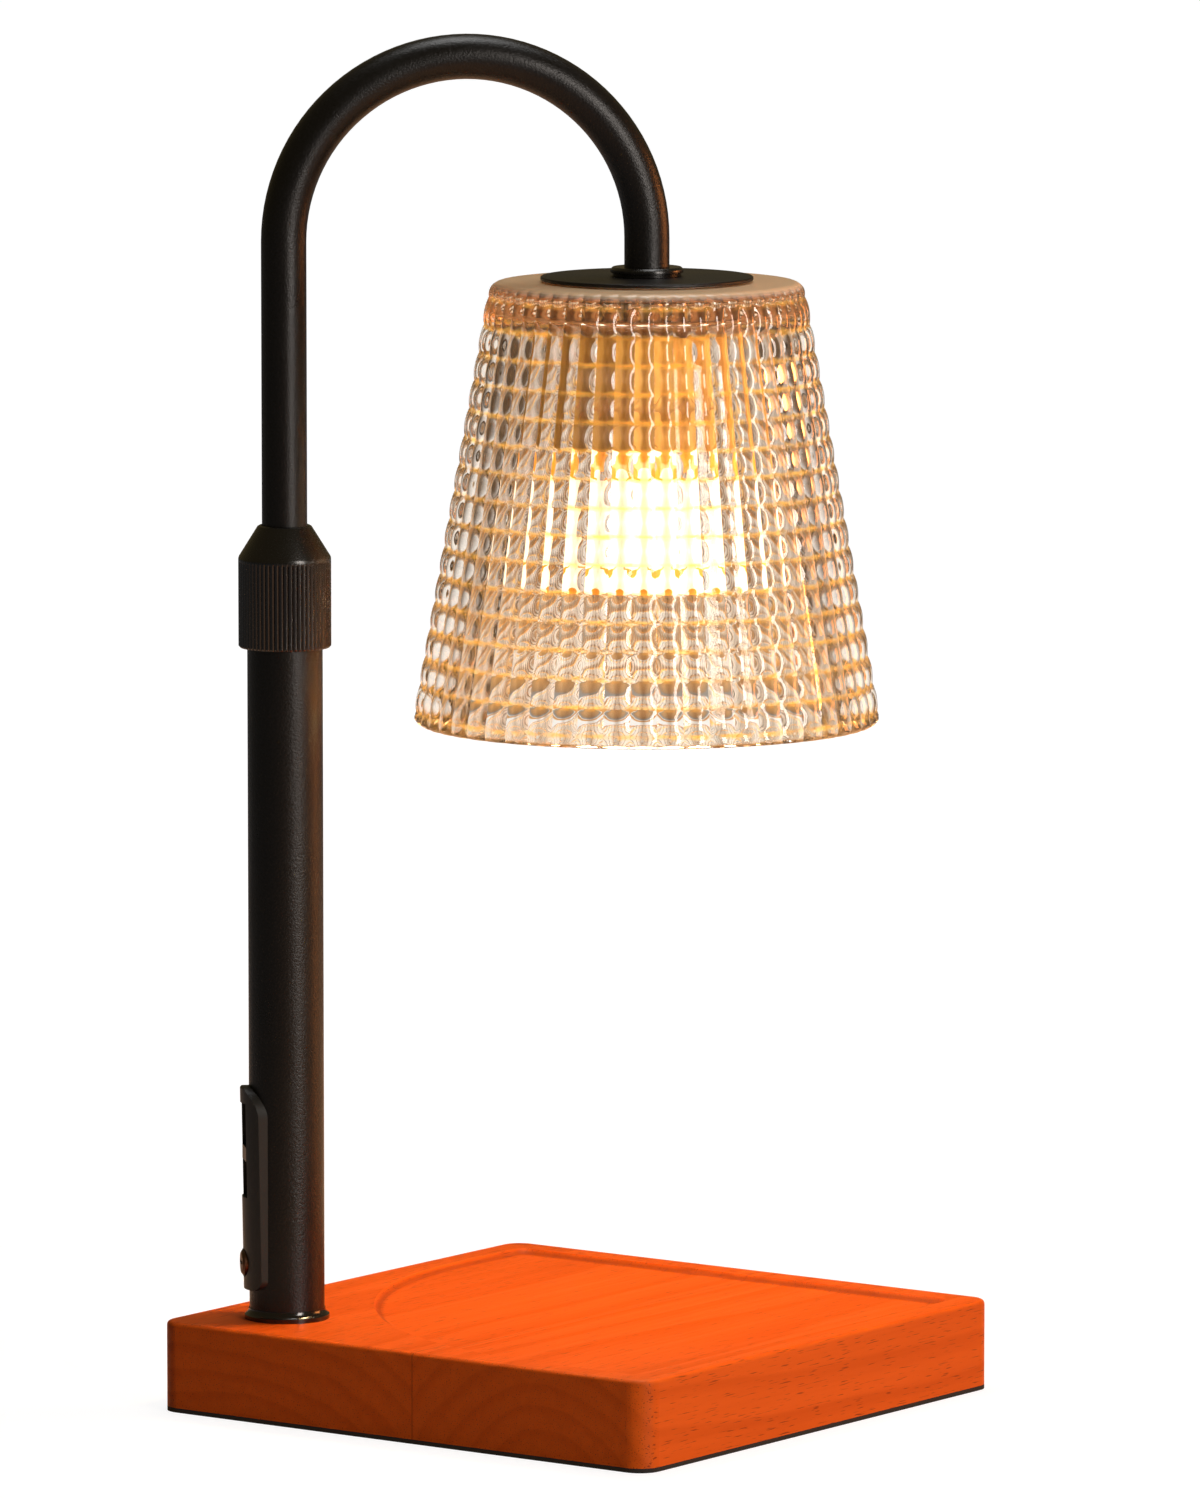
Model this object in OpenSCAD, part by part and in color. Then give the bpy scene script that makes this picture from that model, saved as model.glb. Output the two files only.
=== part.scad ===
// Candle warmer lamp: a square wooden base with a shallow candle tray, a telescoping post with a
// knurled clamp nut, a swan-neck arm, and a pressed-glass shade over a reflector bulb.
// +Z is up. The arm lies in the XZ plane, the post is on the -X side, and the board stands as a
// diamond with a corner towards the post. The origin is the middle of the pad's underside.

/* [Base board] */
// Side of the square board
base_side = 160; // [150:1:190]
// Thickness of the board
base_thick = 23; // [20:0.5:30]
// Radius of the board's upright corners
base_corner_r = 6; // [4:0.5:10]
// Radius of the softened top edge
base_edge_r = 1.2; // [0.6:0.1:2.5]
// Thickness of the foam pad under the board
pad_thick = 1.2; // [0.8:0.1:3]

/* [Candle tray] */
// Width of the flat rim between the board's edge and the tray
rim_w = 8; // [6:0.5:12]
// Depth of the tray floor below the rim
tray_depth = 1.5; // [1:0.1:2.5]
// Radius of the round-nosed cutter that leaves the cove round the tray floor
cove_r = 3.2; // [2.6:0.1:4]
// Radius of the tray's three small corners
tray_corner_r = 4.5; // [4:0.5:8]
// Solid land between the post axis and the tray's large round corner
post_land = 24.5; // [20:0.5:30]

/* [Post] */
// Distance from the post axis to the board's nearest corner, if that were sharp
post_inset = 34.7; // [28:0.1:42]
// Outside diameter of the post tube
post_od = 20; // [19:0.5:24]
// Wall of the post tube
post_wall = 1; // [0.8:0.1:1.4]
// Length of the post tube
post_len = 183.8; // [170:0.1:230]
// Width of the foot ring's lip outside the tube
foot_lip = 1.3; // [1:0.1:3]
// Height of the foot ring
foot_h = 2.9; // [2.2:0.1:5]
// Radius of the hollow turned in the foot ring's side
foot_hollow_r = 2; // [1.5:0.1:2.1]
// Length of the threaded plug in the foot of the tube
plug_len = 11; // [8:0.5:12]

/* [Base bolt] */
// Diameter of the bolt that holds the post to the board
bolt_d = 6; // [5:0.5:8]
// Diameter of the bolt's head
bolt_head_d = 11; // [10:0.5:14]
// Thickness of the bolt's head
bolt_head_h = 3.8; // [3:0.1:5]
// Diameter of the washer under the board
washer_d = 14; // [12:0.5:16]
// Thickness of the washer
washer_h = 1.2; // [0.8:0.1:2]
// Depth of the counterbore in the underside of the board
counterbore_h = 7; // [6.5:0.1:9]
// How far the bolt reaches into the plug
bolt_reach = 9; // [6:0.5:10]

/* [Cord cover] */
// Height of the cover's foot above the board
cover_foot = 8.2; // [6:0.1:12]
// Height of the cover from its foot to the top of its arch
cover_h = 54.6; // [54:0.1:70]
// Width of the cover
cover_w = 16; // [15:0.1:17.6]
// Height of the cover's flat sides, from the post's surface to where its back starts to curve
cover_side = 2.7; // [2:0.1:3]
// How far the cover stands out behind the post's surface, at its top
cover_proud = 2.4; // [2.2:0.1:4]
// How much closer to the post the back of the cover is at its foot
cover_taper = 0.9; // [0.2:0.1:1.1]
// Width of the bevel round the arch of the cover
cover_bevel = 0.6; // [0.3:0.1:1]
// Radius of the cover's two lower corners
cover_corner_r = 3; // [1:0.1:4]
// Width of the two cord windows
window_w = 8; // [6:0.5:9]
// Height of the upper cord window
upper_window_h = 11.8; // [8:0.1:12]
// Height of the lower cord window
lower_window_h = 9.7; // [7:0.1:10]
// Height of the bar between the windows that the cord bends over
bridge_h = 3.8; // [2.5:0.1:5]
// Distance from the top of the arch down to the upper window
window_drop = 4.5; // [3.5:0.1:6]
// How far the bar between the windows is set in from the back
bridge_inset = 0.8; // [0.3:0.1:1.2]
// Height of the cover screw's centre above the cover's foot
screw_up = 7; // [6.5:0.1:9]
// Diameter of the cover screw
screw_d = 3.8; // [3:0.1:4]
// Diameter of the cover screw's head
screw_head_d = 7.4; // [6.5:0.1:8]
// Thickness of the cover screw's head
screw_head_h = 1.5; // [1.2:0.1:2]

/* [Height clamp] */
// Outside diameter of the clamp nut
nut_od = 24.6; // [24:0.1:30]
// Length of the clamp nut
nut_len = 32.5; // [31:0.5:38]
// How far the nut's skirt reaches down over the tube
nut_skirt = 4; // [2:0.5:6]
// Length of the nut's cone
nut_cone_len = 8.5; // [7:0.5:9.5]
// Diameter of the nut's top
nut_tip_d = 14; // [13.8:0.1:15]
// Number of ridges round the grip
knurl_count = 60; // [40:2:72]
// Depth of the grooves between the ridges
knurl_depth = 0.35; // [0.2:0.05:0.5]
// Length of the plain band above the grip
nut_band = 1.4; // [0.8:0.1:2.5]
// Length of the neck that fits inside the post tube
neck_spigot = 12; // [8:0.5:16]
// Length of the threaded neck above the post tube
neck_thread = 14; // [12:0.5:15]
// Wall of the collet at its thickest
collet_wall = 2.55; // [2.2:0.05:2.6]
// Length of the collet
collet_len = 13; // [12.5:0.1:13.5]
// Width of the collet's slits
collet_slit = 1.2; // [0.8:0.1:2]

/* [Arm] */
// Outside diameter of the arm tube
arm_od = 12; // [11.4:0.1:12.2]
// Wall of the arm tube
arm_wall = 1; // [0.8:0.1:1.2]
// Radius of the arch, to the middle of the tube
arch_r = 48.5; // [46:0.5:60]
// Straight length of arm between the clamp nut and the arch
arm_rise = 74.9; // [71:0.1:100]
// Straight length of arm below the arch, on the shade's side
arm_drop = 7.7; // [6:0.1:20]
// How far the arm can still be drawn out of the post
travel_up = 20; // [10:1:30]
// Length of the sliding bush on the arm's lower end
bush_len = 14; // [10:0.5:20]
// How far the rolled end of the arm stands out under the bush
arm_flare = 1.4; // [0.8:0.1:1.8]
// Thickness of the retaining ring above the bush
clip_h = 0.8; // [0.6:0.1:1.2]

/* [Shade fitting] */
// Diameter of the threaded nipple through the shade
nipple_d = 9.9; // [9:0.1:9.9]
// Wall of the nipple
nipple_wall = 1.3; // [1:0.1:1.6]
// Diameter of the ring nut under the arm's end
ring_d = 19.4; // [16:0.1:24]
// Height of the ring nut
ring_h = 2.5; // [2:0.1:4]
// Diameter of the metal disc on the shade
disc_d = 56.5; // [50:0.5:70]
// Thickness of the metal disc
disc_h = 1; // [0.8:0.1:2]
// Thickness of the silicone gaskets on both sides of the glass
gasket_h = 0.5; // [0.3:0.1:1.5]
// Diameter of the upper gasket
disc_gasket_d = 48; // [40:1:50]
// Diameter of the lower gasket and the steel washer
clamp_d = 24; // [20:0.5:27]
// Thickness of the steel washer
clamp_h = 1; // [0.8:0.1:1.6]
// Width across the flats of the hexagon nut
hex_af = 14; // [13:0.5:17]
// Thickness of the hexagon nut
hex_h = 3; // [2.5:0.1:4]

/* [Glass shade] */
// Height of the shade
shade_h = 117.4; // [110:0.1:125]
// Mean outside radius at the top
shade_top_r = 41.5; // [39:0.1:48]
// Mean outside radius at the bottom
shade_bottom_r = 62.2; // [58:0.1:68]
// Thickness of the glass wall
shade_wall = 4.2; // [3.5:0.1:5]
// Thickness of the glass top
shade_top_h = 8; // [6:0.1:10]
// Number of upright ribs
rib_count = 54; // [48:2:60]
// Depth of the valleys between the ribs
rib_depth = 1; // [0.5:0.05:1.4]
// Height of one bead along a rib
bead_pitch = 7.37; // [6.5:0.01:9]
// Depth of the notches between one bead and the next
bead_depth = 0.66; // [0.3:0.02:1]
// Height of the shade's rim below the lowest notch
shade_rim = 2.9; // [2:0.1:4]
// Radius of the shoulder at the top
shoulder_r = 2.6; // [1.5:0.1:3.2]

/* [Lampholder] */
// Diameter of the ceramic lampholder
holder_d = 28; // [27:0.5:32]
// Height of the holder's body
holder_h = 9.2; // [9:0.1:12]
// Height of the holder's cap
holder_cap_h = 4; // [3.6:0.1:6]
// Diameter of the spun cup round the holder
cup_d = 44; // [42:0.5:50]
// Height of the cup
cup_h = 33; // [28:0.5:36]
// Wall of the cup
cup_wall = 0.8; // [0.6:0.1:1.2]
// Radius of the cup's round shoulder
cup_shoulder_r = 5; // [3:0.5:8]
// Radius of the bead rolled round the cup's lip
cup_bead_r = 0.7; // [0.5:0.1:1]
// Radius of the two ribs rolled round the cup above its lip
cup_rib_r = 0.8; // [0.5:0.1:1.2]
// Distance from the cup's lip to the first rib, and from there to the second
cup_rib_gap = 5.4; // [4:0.1:7]
// Height of the steel bracket that carries the holder
bracket_h = 10; // [9:0.5:14]
// Thickness of the bracket's steel
bracket_t = 1.2; // [0.8:0.1:1.5]
// Width of the bracket's strip
bracket_w = 14; // [12:0.5:16]
// Distance between the holder's two screws
holder_screw_span = 17.5; // [16.5:0.1:18]
// Diameter of the holder's screws
holder_screw_d = 3; // [2.5:0.1:3.2]
// Diameter of the two lead wires
lead_d = 2.1; // [1.6:0.1:2.3]

/* [Bulb] */
// Diameter of the bulb's face
bulb_d = 50; // [45:0.5:52]
// Length of the bulb from its face to its seat in the holder
bulb_len = 47; // [42:0.5:55]
// Diameter of the bulb's base
bulb_base_d = 24; // [22:0.5:26]
// Length of the bulb's base
bulb_base_h = 14.5; // [12:0.5:16]
// Wall of the bulb's reflector
bulb_wall = 1.4; // [1:0.1:1.8]
// Thickness of the bulb's front glass
lens_h = 2; // [1.5:0.1:3]
// Distance between the bulb's two pins
pin_span = 10; // [9.6:0.1:10.4]
// Diameter of the pins' heads
pin_head_d = 5; // [4.6:0.1:5.2]
// Diameter of the pins' necks
pin_neck_d = 3; // [2.6:0.1:3.2]
// Angle that the bulb turns from its lock to where it drops out
bulb_twist = 25; // [15:1:30]

/* [Clearances] */
// Radial clearance of a part that slides or turns in another
fit_run = 0.08; // [0.05:0.01:0.1]
// Clearance of a part that is screwed or pressed into another
fit_seat = 0.05; // [0.03:0.01:0.1]
// Clearance of a screw in the hole that it passes through
fit_hole = 0.3; // [0.2:0.05:0.5]
// Gap between curved faces that only come near each other
fit_near = 0.3; // [0.3:0.05:0.5]

/* [Hidden] */
$fn = 96;
eps = 0.01;

black = "#1d1c1c";
wood = "#c4561c";
steel = "#b9bbbd";
brass = "#c9a24e";
ceramic = "#ece6d8";

// The board, in its own axes, which stand at 45 degrees to the arm's
base_top = pad_thick + base_thick;
half_side = base_side / 2;
arc_step = 15;
tray_half = half_side - rim_w;
tray_floor = base_top - tray_depth;
// The round-nosed cutter meets the rim this far out from where its cove meets the floor
cove_w = sqrt(pow(cove_r, 2) - pow(cove_r - tray_depth, 2));
cove_angle = acos((cove_r - tray_depth) / cove_r);
cove_steps = 4;

// The post
post_x = -(base_side / sqrt(2) - post_inset);
post_r = post_od / 2;
post_bore_r = post_r - post_wall;
post_top = base_top + post_len;
tray_post_r = (tray_half * sqrt(2) + post_x + post_land) / (sqrt(2) - 1);
counterbore_gap = 1;
counterbore_r = washer_d / 2 + counterbore_gap;
washer_z = pad_thick + counterbore_h - washer_h;

// The cord cover, measured outwards from the post axis
cover_back = post_r + cover_proud;
cover_z = base_top + cover_foot;
cover_top = cover_z + cover_h;
arch_z = cover_top - cover_w / 2;
cover_tilt = atan(cover_taper / cover_h);
// The cover's rounded back ends at the back edges of its flat sides
edge_x = sqrt(pow(post_r, 2) - pow(cover_w / 2, 2)) + cover_side;
edge_reach = norm([edge_x, cover_w / 2]);
back_c = (pow(cover_back, 2) - pow(edge_reach, 2)) / (2 * (cover_back - edge_x));
back_r = cover_back - back_c;
upper_window_z = cover_top - window_drop - upper_window_h;
lower_window_z = upper_window_z - bridge_h - lower_window_h;
screw_z = cover_z + screw_up;
// Cover left under the screw's head, and how far the screw reaches inside the tube
cover_floor = 0.8;
screw_grip = 2.5;
screw_seat = post_r + cover_floor;
slot_margin = 1.5;

// The clamp, from the top of the post tube
nut_z = post_top - nut_skirt;
nut_top = nut_z + nut_len;
nut_r = nut_od / 2;
neck_top = post_top + neck_thread;
neck_foot = post_top - neck_spigot;
seat_h = 3;
nut_bore_r = post_r + fit_run;
arm_r = arm_od / 2;
collet_bore_r = arm_r + fit_run;
collet_r = collet_bore_r + collet_wall;
collet_tip_wall = 0.65;
collet_tip_r = collet_bore_r + collet_tip_wall;
collet_lift = 0.4;
collet_z = neck_top - seat_h + collet_lift;
collet_foot_h = 3.6;
collet_waist_h = 2.5;

// The arm
arm_bore_r = arm_r - arm_wall;
spring_z = nut_top + arm_rise;
shade_x = post_x + 2 * arch_r;
arm_end = spring_z - arm_drop;
clip_z = neck_foot - travel_up - fit_near - clip_h;
bush_z = clip_z - fit_run - bush_len;
flare_h = 1.2;
arm_foot = bush_z - fit_run - flare_h;
groove_depth = 0.3;
clip_w = 1.9;

// The stack on the nipple, from the arm's end down
ring_z = arm_end - ring_h;
disc_z = ring_z - disc_h;
shade_top = disc_z - gasket_h;
shade_z = shade_top - shade_h;
plate_z = shade_top - shade_top_h;
glass_gasket_z = plate_z - gasket_h;
clamp_z = glass_gasket_z - clamp_h;
bracket_top = clamp_z - cup_wall;
bracket_z = bracket_top - bracket_h;
hex_z = bracket_top - bracket_t - hex_h;
nipple_r = nipple_d / 2;
// Thread that shows under the hexagon nut, and clear room above the nipple in the arm's end
thread_end = 2.4;
nipple_room = 0.4;
nipple_z = hex_z - thread_end;
nipple_top = spring_z - nipple_room;
thread_r = nipple_r + fit_seat;
glass_hole_gap = 0.65;
shade_hole_r = nipple_r + glass_hole_gap;

// The lampholder and the bulb
cap_z = bracket_z - holder_cap_h;
holder_z = cap_z - holder_h;
pin_r = pin_span / 2;
slot_plate_h = 2.8;
chamber_h = 4.6;
leaf_h = 0.5;
// Play of the pins' heads in the chamber, below and above
pin_play = 0.4;
leaf_play = 0.1;
pin_neck_h = slot_plate_h + pin_play;
pin_head_h = chamber_h - leaf_h - pin_play - leaf_play;
pin_root = 3;
contact_r = 0.8;
leaf_w = 4;
leaf_spread = 30;
// The wires' channel in the cap, and how the wires lie in it and beside each other
channel_room = 1;
wire_gap = 0.2;
lead_y = lead_d / 2 + fit_near;
channel_w = lead_d + channel_room;
channel_h = lead_d + channel_room;
lead_z = cap_z + channel_h - lead_d / 2 - wire_gap;
screw_sink_h = 2.5;
screw_sunk = 0.4;
// The bracket's legs stand clear of the holder, and its two feet stop short of the axis
bracket_stand = 1;
bracket_gap_r = 5;
bulb_z = holder_z - bulb_len;
bulb_r = bulb_d / 2;
bulb_rim_h = 4.5;
bulb_flare_h = bulb_len - bulb_base_h - bulb_rim_h;
capsule_r = 5;
capsule_h = 18;
// The rim's step from the flare, its rebate for the front glass, and the mirror bowl inside
rim_step = 0.6;
lens_rebate = 0.4;
lens_seat_r = bulb_r - bulb_wall + lens_rebate;
bowl_z = lens_h + 2;
bowl_h = bulb_flare_h + 3;
bowl_r = bulb_r - 2.2;
bowl_neck_r = capsule_r + 0.8;
flare_power = 0.62;

// ---------------------------------------------------------------- helpers

// Points of a circular arc, about a centre, from one angle to another
function arc(cx, cy, r, from, to, steps) =
    [for (i = [0 : steps]) let (a = from + (to - from) * i / steps) [cx + r * cos(a), cy + r * sin(a)]];

// Upright strip of the board's edge: x = 0 is its inner side and x = w the board's face
function edge_strip(w, h, e) =
    concat([[0, 0], [w, 0]], arc(w - e, h - e, e, 0, 90, 90 / arc_step), [[0, h]]);

// Strip of the tray along its wall: floor, cove and a way up through the rim
function tray_strip(w) =
    concat([[0, 0]],
           [for (i = [0 : cove_steps]) let (a = cove_angle * i / cove_steps)
               [w - cove_w + cove_r * sin(a), cove_r - cove_r * cos(a)]],
           [[w, tray_depth + 1], [0, tray_depth + 1]]);

// A strip standing on edge, drawn out along x from 0 to length, with its outer side towards +y
module run(points, length) {
    rotate([90, 0, 90]) linear_extrude(height = length) polygon(points);
}

// A strip swept round an upright corner, through a quarter turn from +x to +y
module corner(points) {
    rotate_extrude(angle = 90) polygon(points);
}

function shift_x(points, d) = [for (p = points) [p[0] + d, p[1]]];

module ring(r_out, r_in, h) {
    difference() {
        cylinder(r = r_out, h = h);
        translate([0, 0, -eps]) cylinder(r = r_in, h = h + 2 * eps);
    }
}

module at_post(z = 0) {
    translate([post_x, 0, z]) children();
}

module at_shade(z = 0) {
    translate([shade_x, 0, z]) children();
}

// Part of a ring with square ends, centred on an angle about the axis
module ring_sector(r_in, r_out, h, mid, spread) {
    rotate([0, 0, mid - spread / 2])
        rotate_extrude(angle = spread)
            translate([r_in, 0]) square([r_out - r_in, h]);
}

// ---------------------------------------------------------------- base

module square_outline() {
    for (x = [-1, 1], y = [-1, 1])
        translate([x * (half_side - base_corner_r), y * (half_side - base_corner_r)])
            circle(r = base_corner_r);
    square([base_side, base_side - 2 * base_corner_r], center = true);
    square([base_side - 2 * base_corner_r, base_side], center = true);
}

module base_pad() {
    color("#151515") rotate([0, 0, 45]) linear_extrude(height = pad_thick) square_outline();
}

// The board as its middle block, four straight edges and four turned corners
module board_blank() {
    strip = edge_strip(base_corner_r, base_thick, base_edge_r);
    straight = base_side - 2 * base_corner_r;
    translate([-straight / 2, -straight / 2, 0]) cube([straight, straight, base_thick]);
    for (a = [0 : 90 : 270]) rotate([0, 0, a]) {
        translate([-straight / 2, straight / 2, 0]) run(strip, straight);
        translate([straight / 2, straight / 2, 0]) corner(strip);
    }
}

// The tray as its floor and a coved strip that follows the wall round three small corners and
// the large one beside the post
module tray_cutter() {
    w = tray_corner_r;
    strip = tray_strip(w);
    low = -tray_half + w;
    high = tray_half - w;
    turn = tray_half - tray_post_r;
    depth = tray_depth + 1;
    // Each side: the angle it faces, where its run starts and how long it is
    for (side = [[0, -turn, high + turn], [90, low, turn - low],
                 [180, low, high - low], [270, low, high - low]])
        rotate([0, 0, side[0]]) translate([side[1], high, 0]) run(strip, side[2]);
    for (a = [0, 180, 270]) rotate([0, 0, a]) translate([high, high, 0]) corner(strip);
    translate([-turn, turn, 0]) rotate([0, 0, 90]) {
        corner(shift_x(strip, tray_post_r - w));
        rotate_extrude(angle = 90) square([tray_post_r - w, depth]);
    }
    translate([-turn, low, 0]) cube([high + turn, high - low, depth]);
    translate([low, low, 0]) cube([-turn - low, turn - low, depth]);
}

module base_board() {
    color(wood) difference() {
        translate([0, 0, pad_thick]) rotate([0, 0, 45]) board_blank();
        translate([0, 0, tray_floor]) rotate([0, 0, 45]) tray_cutter();
        at_post(pad_thick - 1) cylinder(r = counterbore_r, h = counterbore_h + 1);
        at_post() cylinder(d = bolt_d + 2 * fit_hole, h = base_top + 1);
    }
}

module base_washer() {
    color(steel) at_post(washer_z) ring(washer_d / 2, bolt_d / 2 + fit_hole, washer_h);
}

module base_bolt() {
    socket_d = bolt_d * 0.75;
    socket_h = bolt_head_h * 0.6;
    color(steel) difference() {
        union() {
            at_post(washer_z - bolt_head_h) cylinder(d = bolt_head_d, h = bolt_head_h);
            at_post(washer_z - bolt_head_h / 2)
                cylinder(d = bolt_d, h = base_top + bolt_reach - washer_z + bolt_head_h / 2);
        }
        at_post(washer_z - bolt_head_h - eps) cylinder(d = socket_d, h = socket_h, $fn = 6);
    }
}

// ---------------------------------------------------------------- post

module post_plug() {
    color(steel) at_post(base_top) ring(post_bore_r - fit_seat, bolt_d / 2 + fit_seat, plug_len);
}

// A turned ring whose side is hollowed from the tube down to a thin lip
module foot_ring() {
    foot_neck = 0.2;
    color(black) at_post(base_top) rotate_extrude() difference() {
        translate([post_r + fit_seat, 0]) square([foot_lip - fit_seat, foot_h]);
        translate([post_r + foot_neck + foot_hollow_r, foot_h]) circle(r = foot_hollow_r);
    }
}

module post_tube() {
    slot_w = window_w - 1;
    slot_z = lower_window_z - slot_margin + slot_w / 2;
    slot_top = upper_window_z + upper_window_h - slot_w / 2;
    color(black) difference() {
        at_post(base_top) ring(post_r, post_bore_r, post_len);
        translate([post_x, 0, 0]) rotate([0, -90, 0]) linear_extrude(height = post_r + 1) {
            translate([slot_z, -slot_w / 2]) square([slot_top - slot_z, slot_w]);
            for (z = [slot_z, slot_top]) translate([z, 0]) circle(d = slot_w);
        }
        at_post(screw_z) rotate([0, -90, 0]) cylinder(d = screw_d + 2 * fit_seat, h = post_r + 1);
    }
}

// The cover's outline from behind, drawn out backwards from the post axis: an arch with a bevel
// round it, straight sides and rounded lower corners
module cover_blank() {
    flat = cover_back - cover_bevel;
    half = cover_w / 2;
    inset = half - cover_corner_r;
    low = cover_z + cover_corner_r;
    rotate([0, -90, 0]) {
        translate([arch_z, 0, 0]) {
            cylinder(r = half, h = flat);
            translate([0, 0, flat]) cylinder(r1 = half, r2 = half - cover_bevel, h = cover_bevel);
        }
        linear_extrude(height = cover_back) {
            translate([low, -half]) square([arch_z - low, cover_w]);
            translate([cover_z, -inset]) square([cover_corner_r, 2 * inset]);
            for (s = [-1, 1]) translate([low, s * inset]) circle(r = cover_corner_r);
        }
    }
}

// The blank with its back rounded and tapered, hollowed to fit the tube
module cord_cover() {
    deep = cover_back + 1;
    color(black) at_post() difference() {
        intersection() {
            cover_blank();
            translate([-back_c, 0, cover_top]) rotate([0, -cover_tilt, 0])
                translate([0, 0, -cover_h * 1.5]) cylinder(r = back_r, h = cover_h * 2);
        }
        translate([0, 0, cover_z - 1]) cylinder(r = post_r + fit_seat, h = cover_h + 2);
        for (w = [[upper_window_z, upper_window_h], [lower_window_z, lower_window_h]])
            translate([-deep, -window_w / 2, w[0]]) cube([deep, window_w, w[1]]);
        translate([-deep, -window_w / 2, upper_window_z - bridge_h - eps])
            cube([deep - cover_back + bridge_inset + cover_taper / 4, window_w, bridge_h + 2 * eps]);
        translate([0, 0, screw_z]) rotate([0, -90, 0]) cylinder(d = screw_d + 2 * fit_hole, h = deep);
        translate([-screw_seat, 0, screw_z]) rotate([0, -90, 0])
            cylinder(d = screw_head_d + 2 * fit_hole, h = deep);
    }
}

module cover_screw() {
    rim_h = screw_head_h * 0.6;
    cross_l = screw_head_d * 0.66;
    cross_w = 0.8;
    color(steel) at_post(screw_z) rotate([0, -90, 0]) difference() {
        union() {
            translate([0, 0, post_bore_r - screw_grip])
                cylinder(d = screw_d, h = screw_seat - post_bore_r + screw_grip);
            translate([0, 0, screw_seat]) cylinder(d = screw_head_d, h = rim_h);
            translate([0, 0, screw_seat + rim_h])
                cylinder(d1 = screw_head_d, d2 = screw_head_d * 0.75, h = screw_head_h - rim_h);
        }
        for (a = [0, 90]) rotate([0, 0, a])
            translate([-cross_l / 2, -cross_w / 2, screw_seat + screw_head_h * 0.4])
                cube([cross_l, cross_w, screw_head_h]);
    }
}

// ---------------------------------------------------------------- height clamp

module neck() {
    seat_r = collet_tip_r + fit_near;
    color(steel) at_post() difference() {
        union() {
            translate([0, 0, neck_foot]) cylinder(r = post_bore_r - fit_seat, h = neck_spigot + eps);
            translate([0, 0, post_top]) cylinder(r = post_r, h = neck_thread);
        }
        translate([0, 0, neck_foot - 1]) cylinder(r = arm_r + fit_run, h = neck_top - neck_foot + 2);
        translate([0, 0, neck_top - seat_h])
            cylinder(r1 = seat_r, r2 = seat_r + seat_h / 2, h = seat_h + eps);
    }
}

// A split sleeve, tapered at both ends, that the nut squeezes onto the arm
module collet() {
    waist_z = collet_z + collet_foot_h;
    cone_z = waist_z + collet_waist_h;
    cone_h = collet_len - collet_foot_h - collet_waist_h;
    color("#d8d4c8") at_post() difference() {
        union() {
            translate([0, 0, collet_z]) cylinder(r1 = collet_tip_r, r2 = collet_r, h = collet_foot_h);
            translate([0, 0, waist_z]) cylinder(r = collet_r, h = collet_waist_h);
            translate([0, 0, cone_z]) cylinder(r1 = collet_r, r2 = collet_tip_r, h = cone_h);
        }
        translate([0, 0, collet_z - 1]) cylinder(r = collet_bore_r, h = collet_len + 2);
        translate([0, -collet_slit / 2, collet_z - 1]) cube([collet_r + 1, collet_slit, collet_len + 2]);
        for (a = [120, 240]) rotate([0, 0, a])
            translate([0, -collet_slit / 2, waist_z]) cube([collet_r + 1, collet_slit, collet_len]);
    }
}

module knurl_outline() {
    pitch = 360 / knurl_count;
    groove_share = 0.55;
    half = nut_r * sin(pitch / 2) * groove_share;
    difference() {
        circle(r = nut_r);
        for (i = [0 : knurl_count - 1]) rotate(i * pitch)
            polygon([[nut_r - knurl_depth, 0], [nut_r + 0.1, -half], [nut_r + 0.1, half]]);
    }
}

module clamp_nut() {
    chamfer = 0.5;
    cone_z = nut_top - nut_cone_len;
    grip_z = nut_z + chamfer;
    thread_top = collet_z + collet_foot_h + collet_waist_h;
    press_h = collet_len - collet_foot_h - collet_waist_h;
    color(black) at_post() difference() {
        union() {
            translate([0, 0, nut_z]) cylinder(r1 = nut_r - chamfer, r2 = nut_r, h = chamfer);
            translate([0, 0, grip_z]) linear_extrude(height = cone_z - nut_band - grip_z) knurl_outline();
            translate([0, 0, cone_z - nut_band]) cylinder(r = nut_r, h = nut_band);
            translate([0, 0, cone_z]) cylinder(r1 = nut_r, r2 = nut_tip_d / 2, h = nut_cone_len);
        }
        translate([0, 0, nut_z - 1]) cylinder(r = nut_bore_r, h = thread_top - nut_z + 1);
        translate([0, 0, thread_top - eps])
            cylinder(r1 = collet_r + fit_near, r2 = collet_tip_r + fit_near, h = press_h + eps);
        translate([0, 0, nut_z]) cylinder(r = arm_r + fit_near, h = nut_len + 1);
    }
}

// ---------------------------------------------------------------- arm

module guide_bush() {
    color("#e9e7e0") at_post(bush_z) ring(post_bore_r - fit_run, arm_r + fit_run, bush_len);
}

module arm_clip() {
    color(steel) at_post(clip_z) difference() {
        ring(arm_r + clip_w, arm_r - groove_depth + fit_seat, clip_h);
        translate([-arm_od, -arm_r * 0.6, -1]) cube([arm_od, arm_r * 1.2, clip_h + 2]);
    }
}

// The arm's centreline, as a bar of the given radius
module arm_bar(r, from, to) {
    at_post(from) cylinder(r = r, h = spring_z - from);
    translate([post_x + arch_r, 0, spring_z]) rotate([90, 0, 0])
        rotate_extrude(angle = 180) translate([arch_r, 0]) circle(r = r);
    at_shade(to) cylinder(r = r, h = spring_z - to);
}

module arm_tube() {
    color(black) difference() {
        union() {
            arm_bar(arm_r, arm_foot, arm_end);
            at_post(arm_foot) cylinder(r = arm_r + arm_flare, h = flare_h);
        }
        arm_bar(arm_bore_r, arm_foot - 1, arm_end - 1);
        at_post(clip_z - fit_seat) ring(arm_r + 1, arm_r - groove_depth, clip_h + 2 * fit_seat);
    }
}

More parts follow.
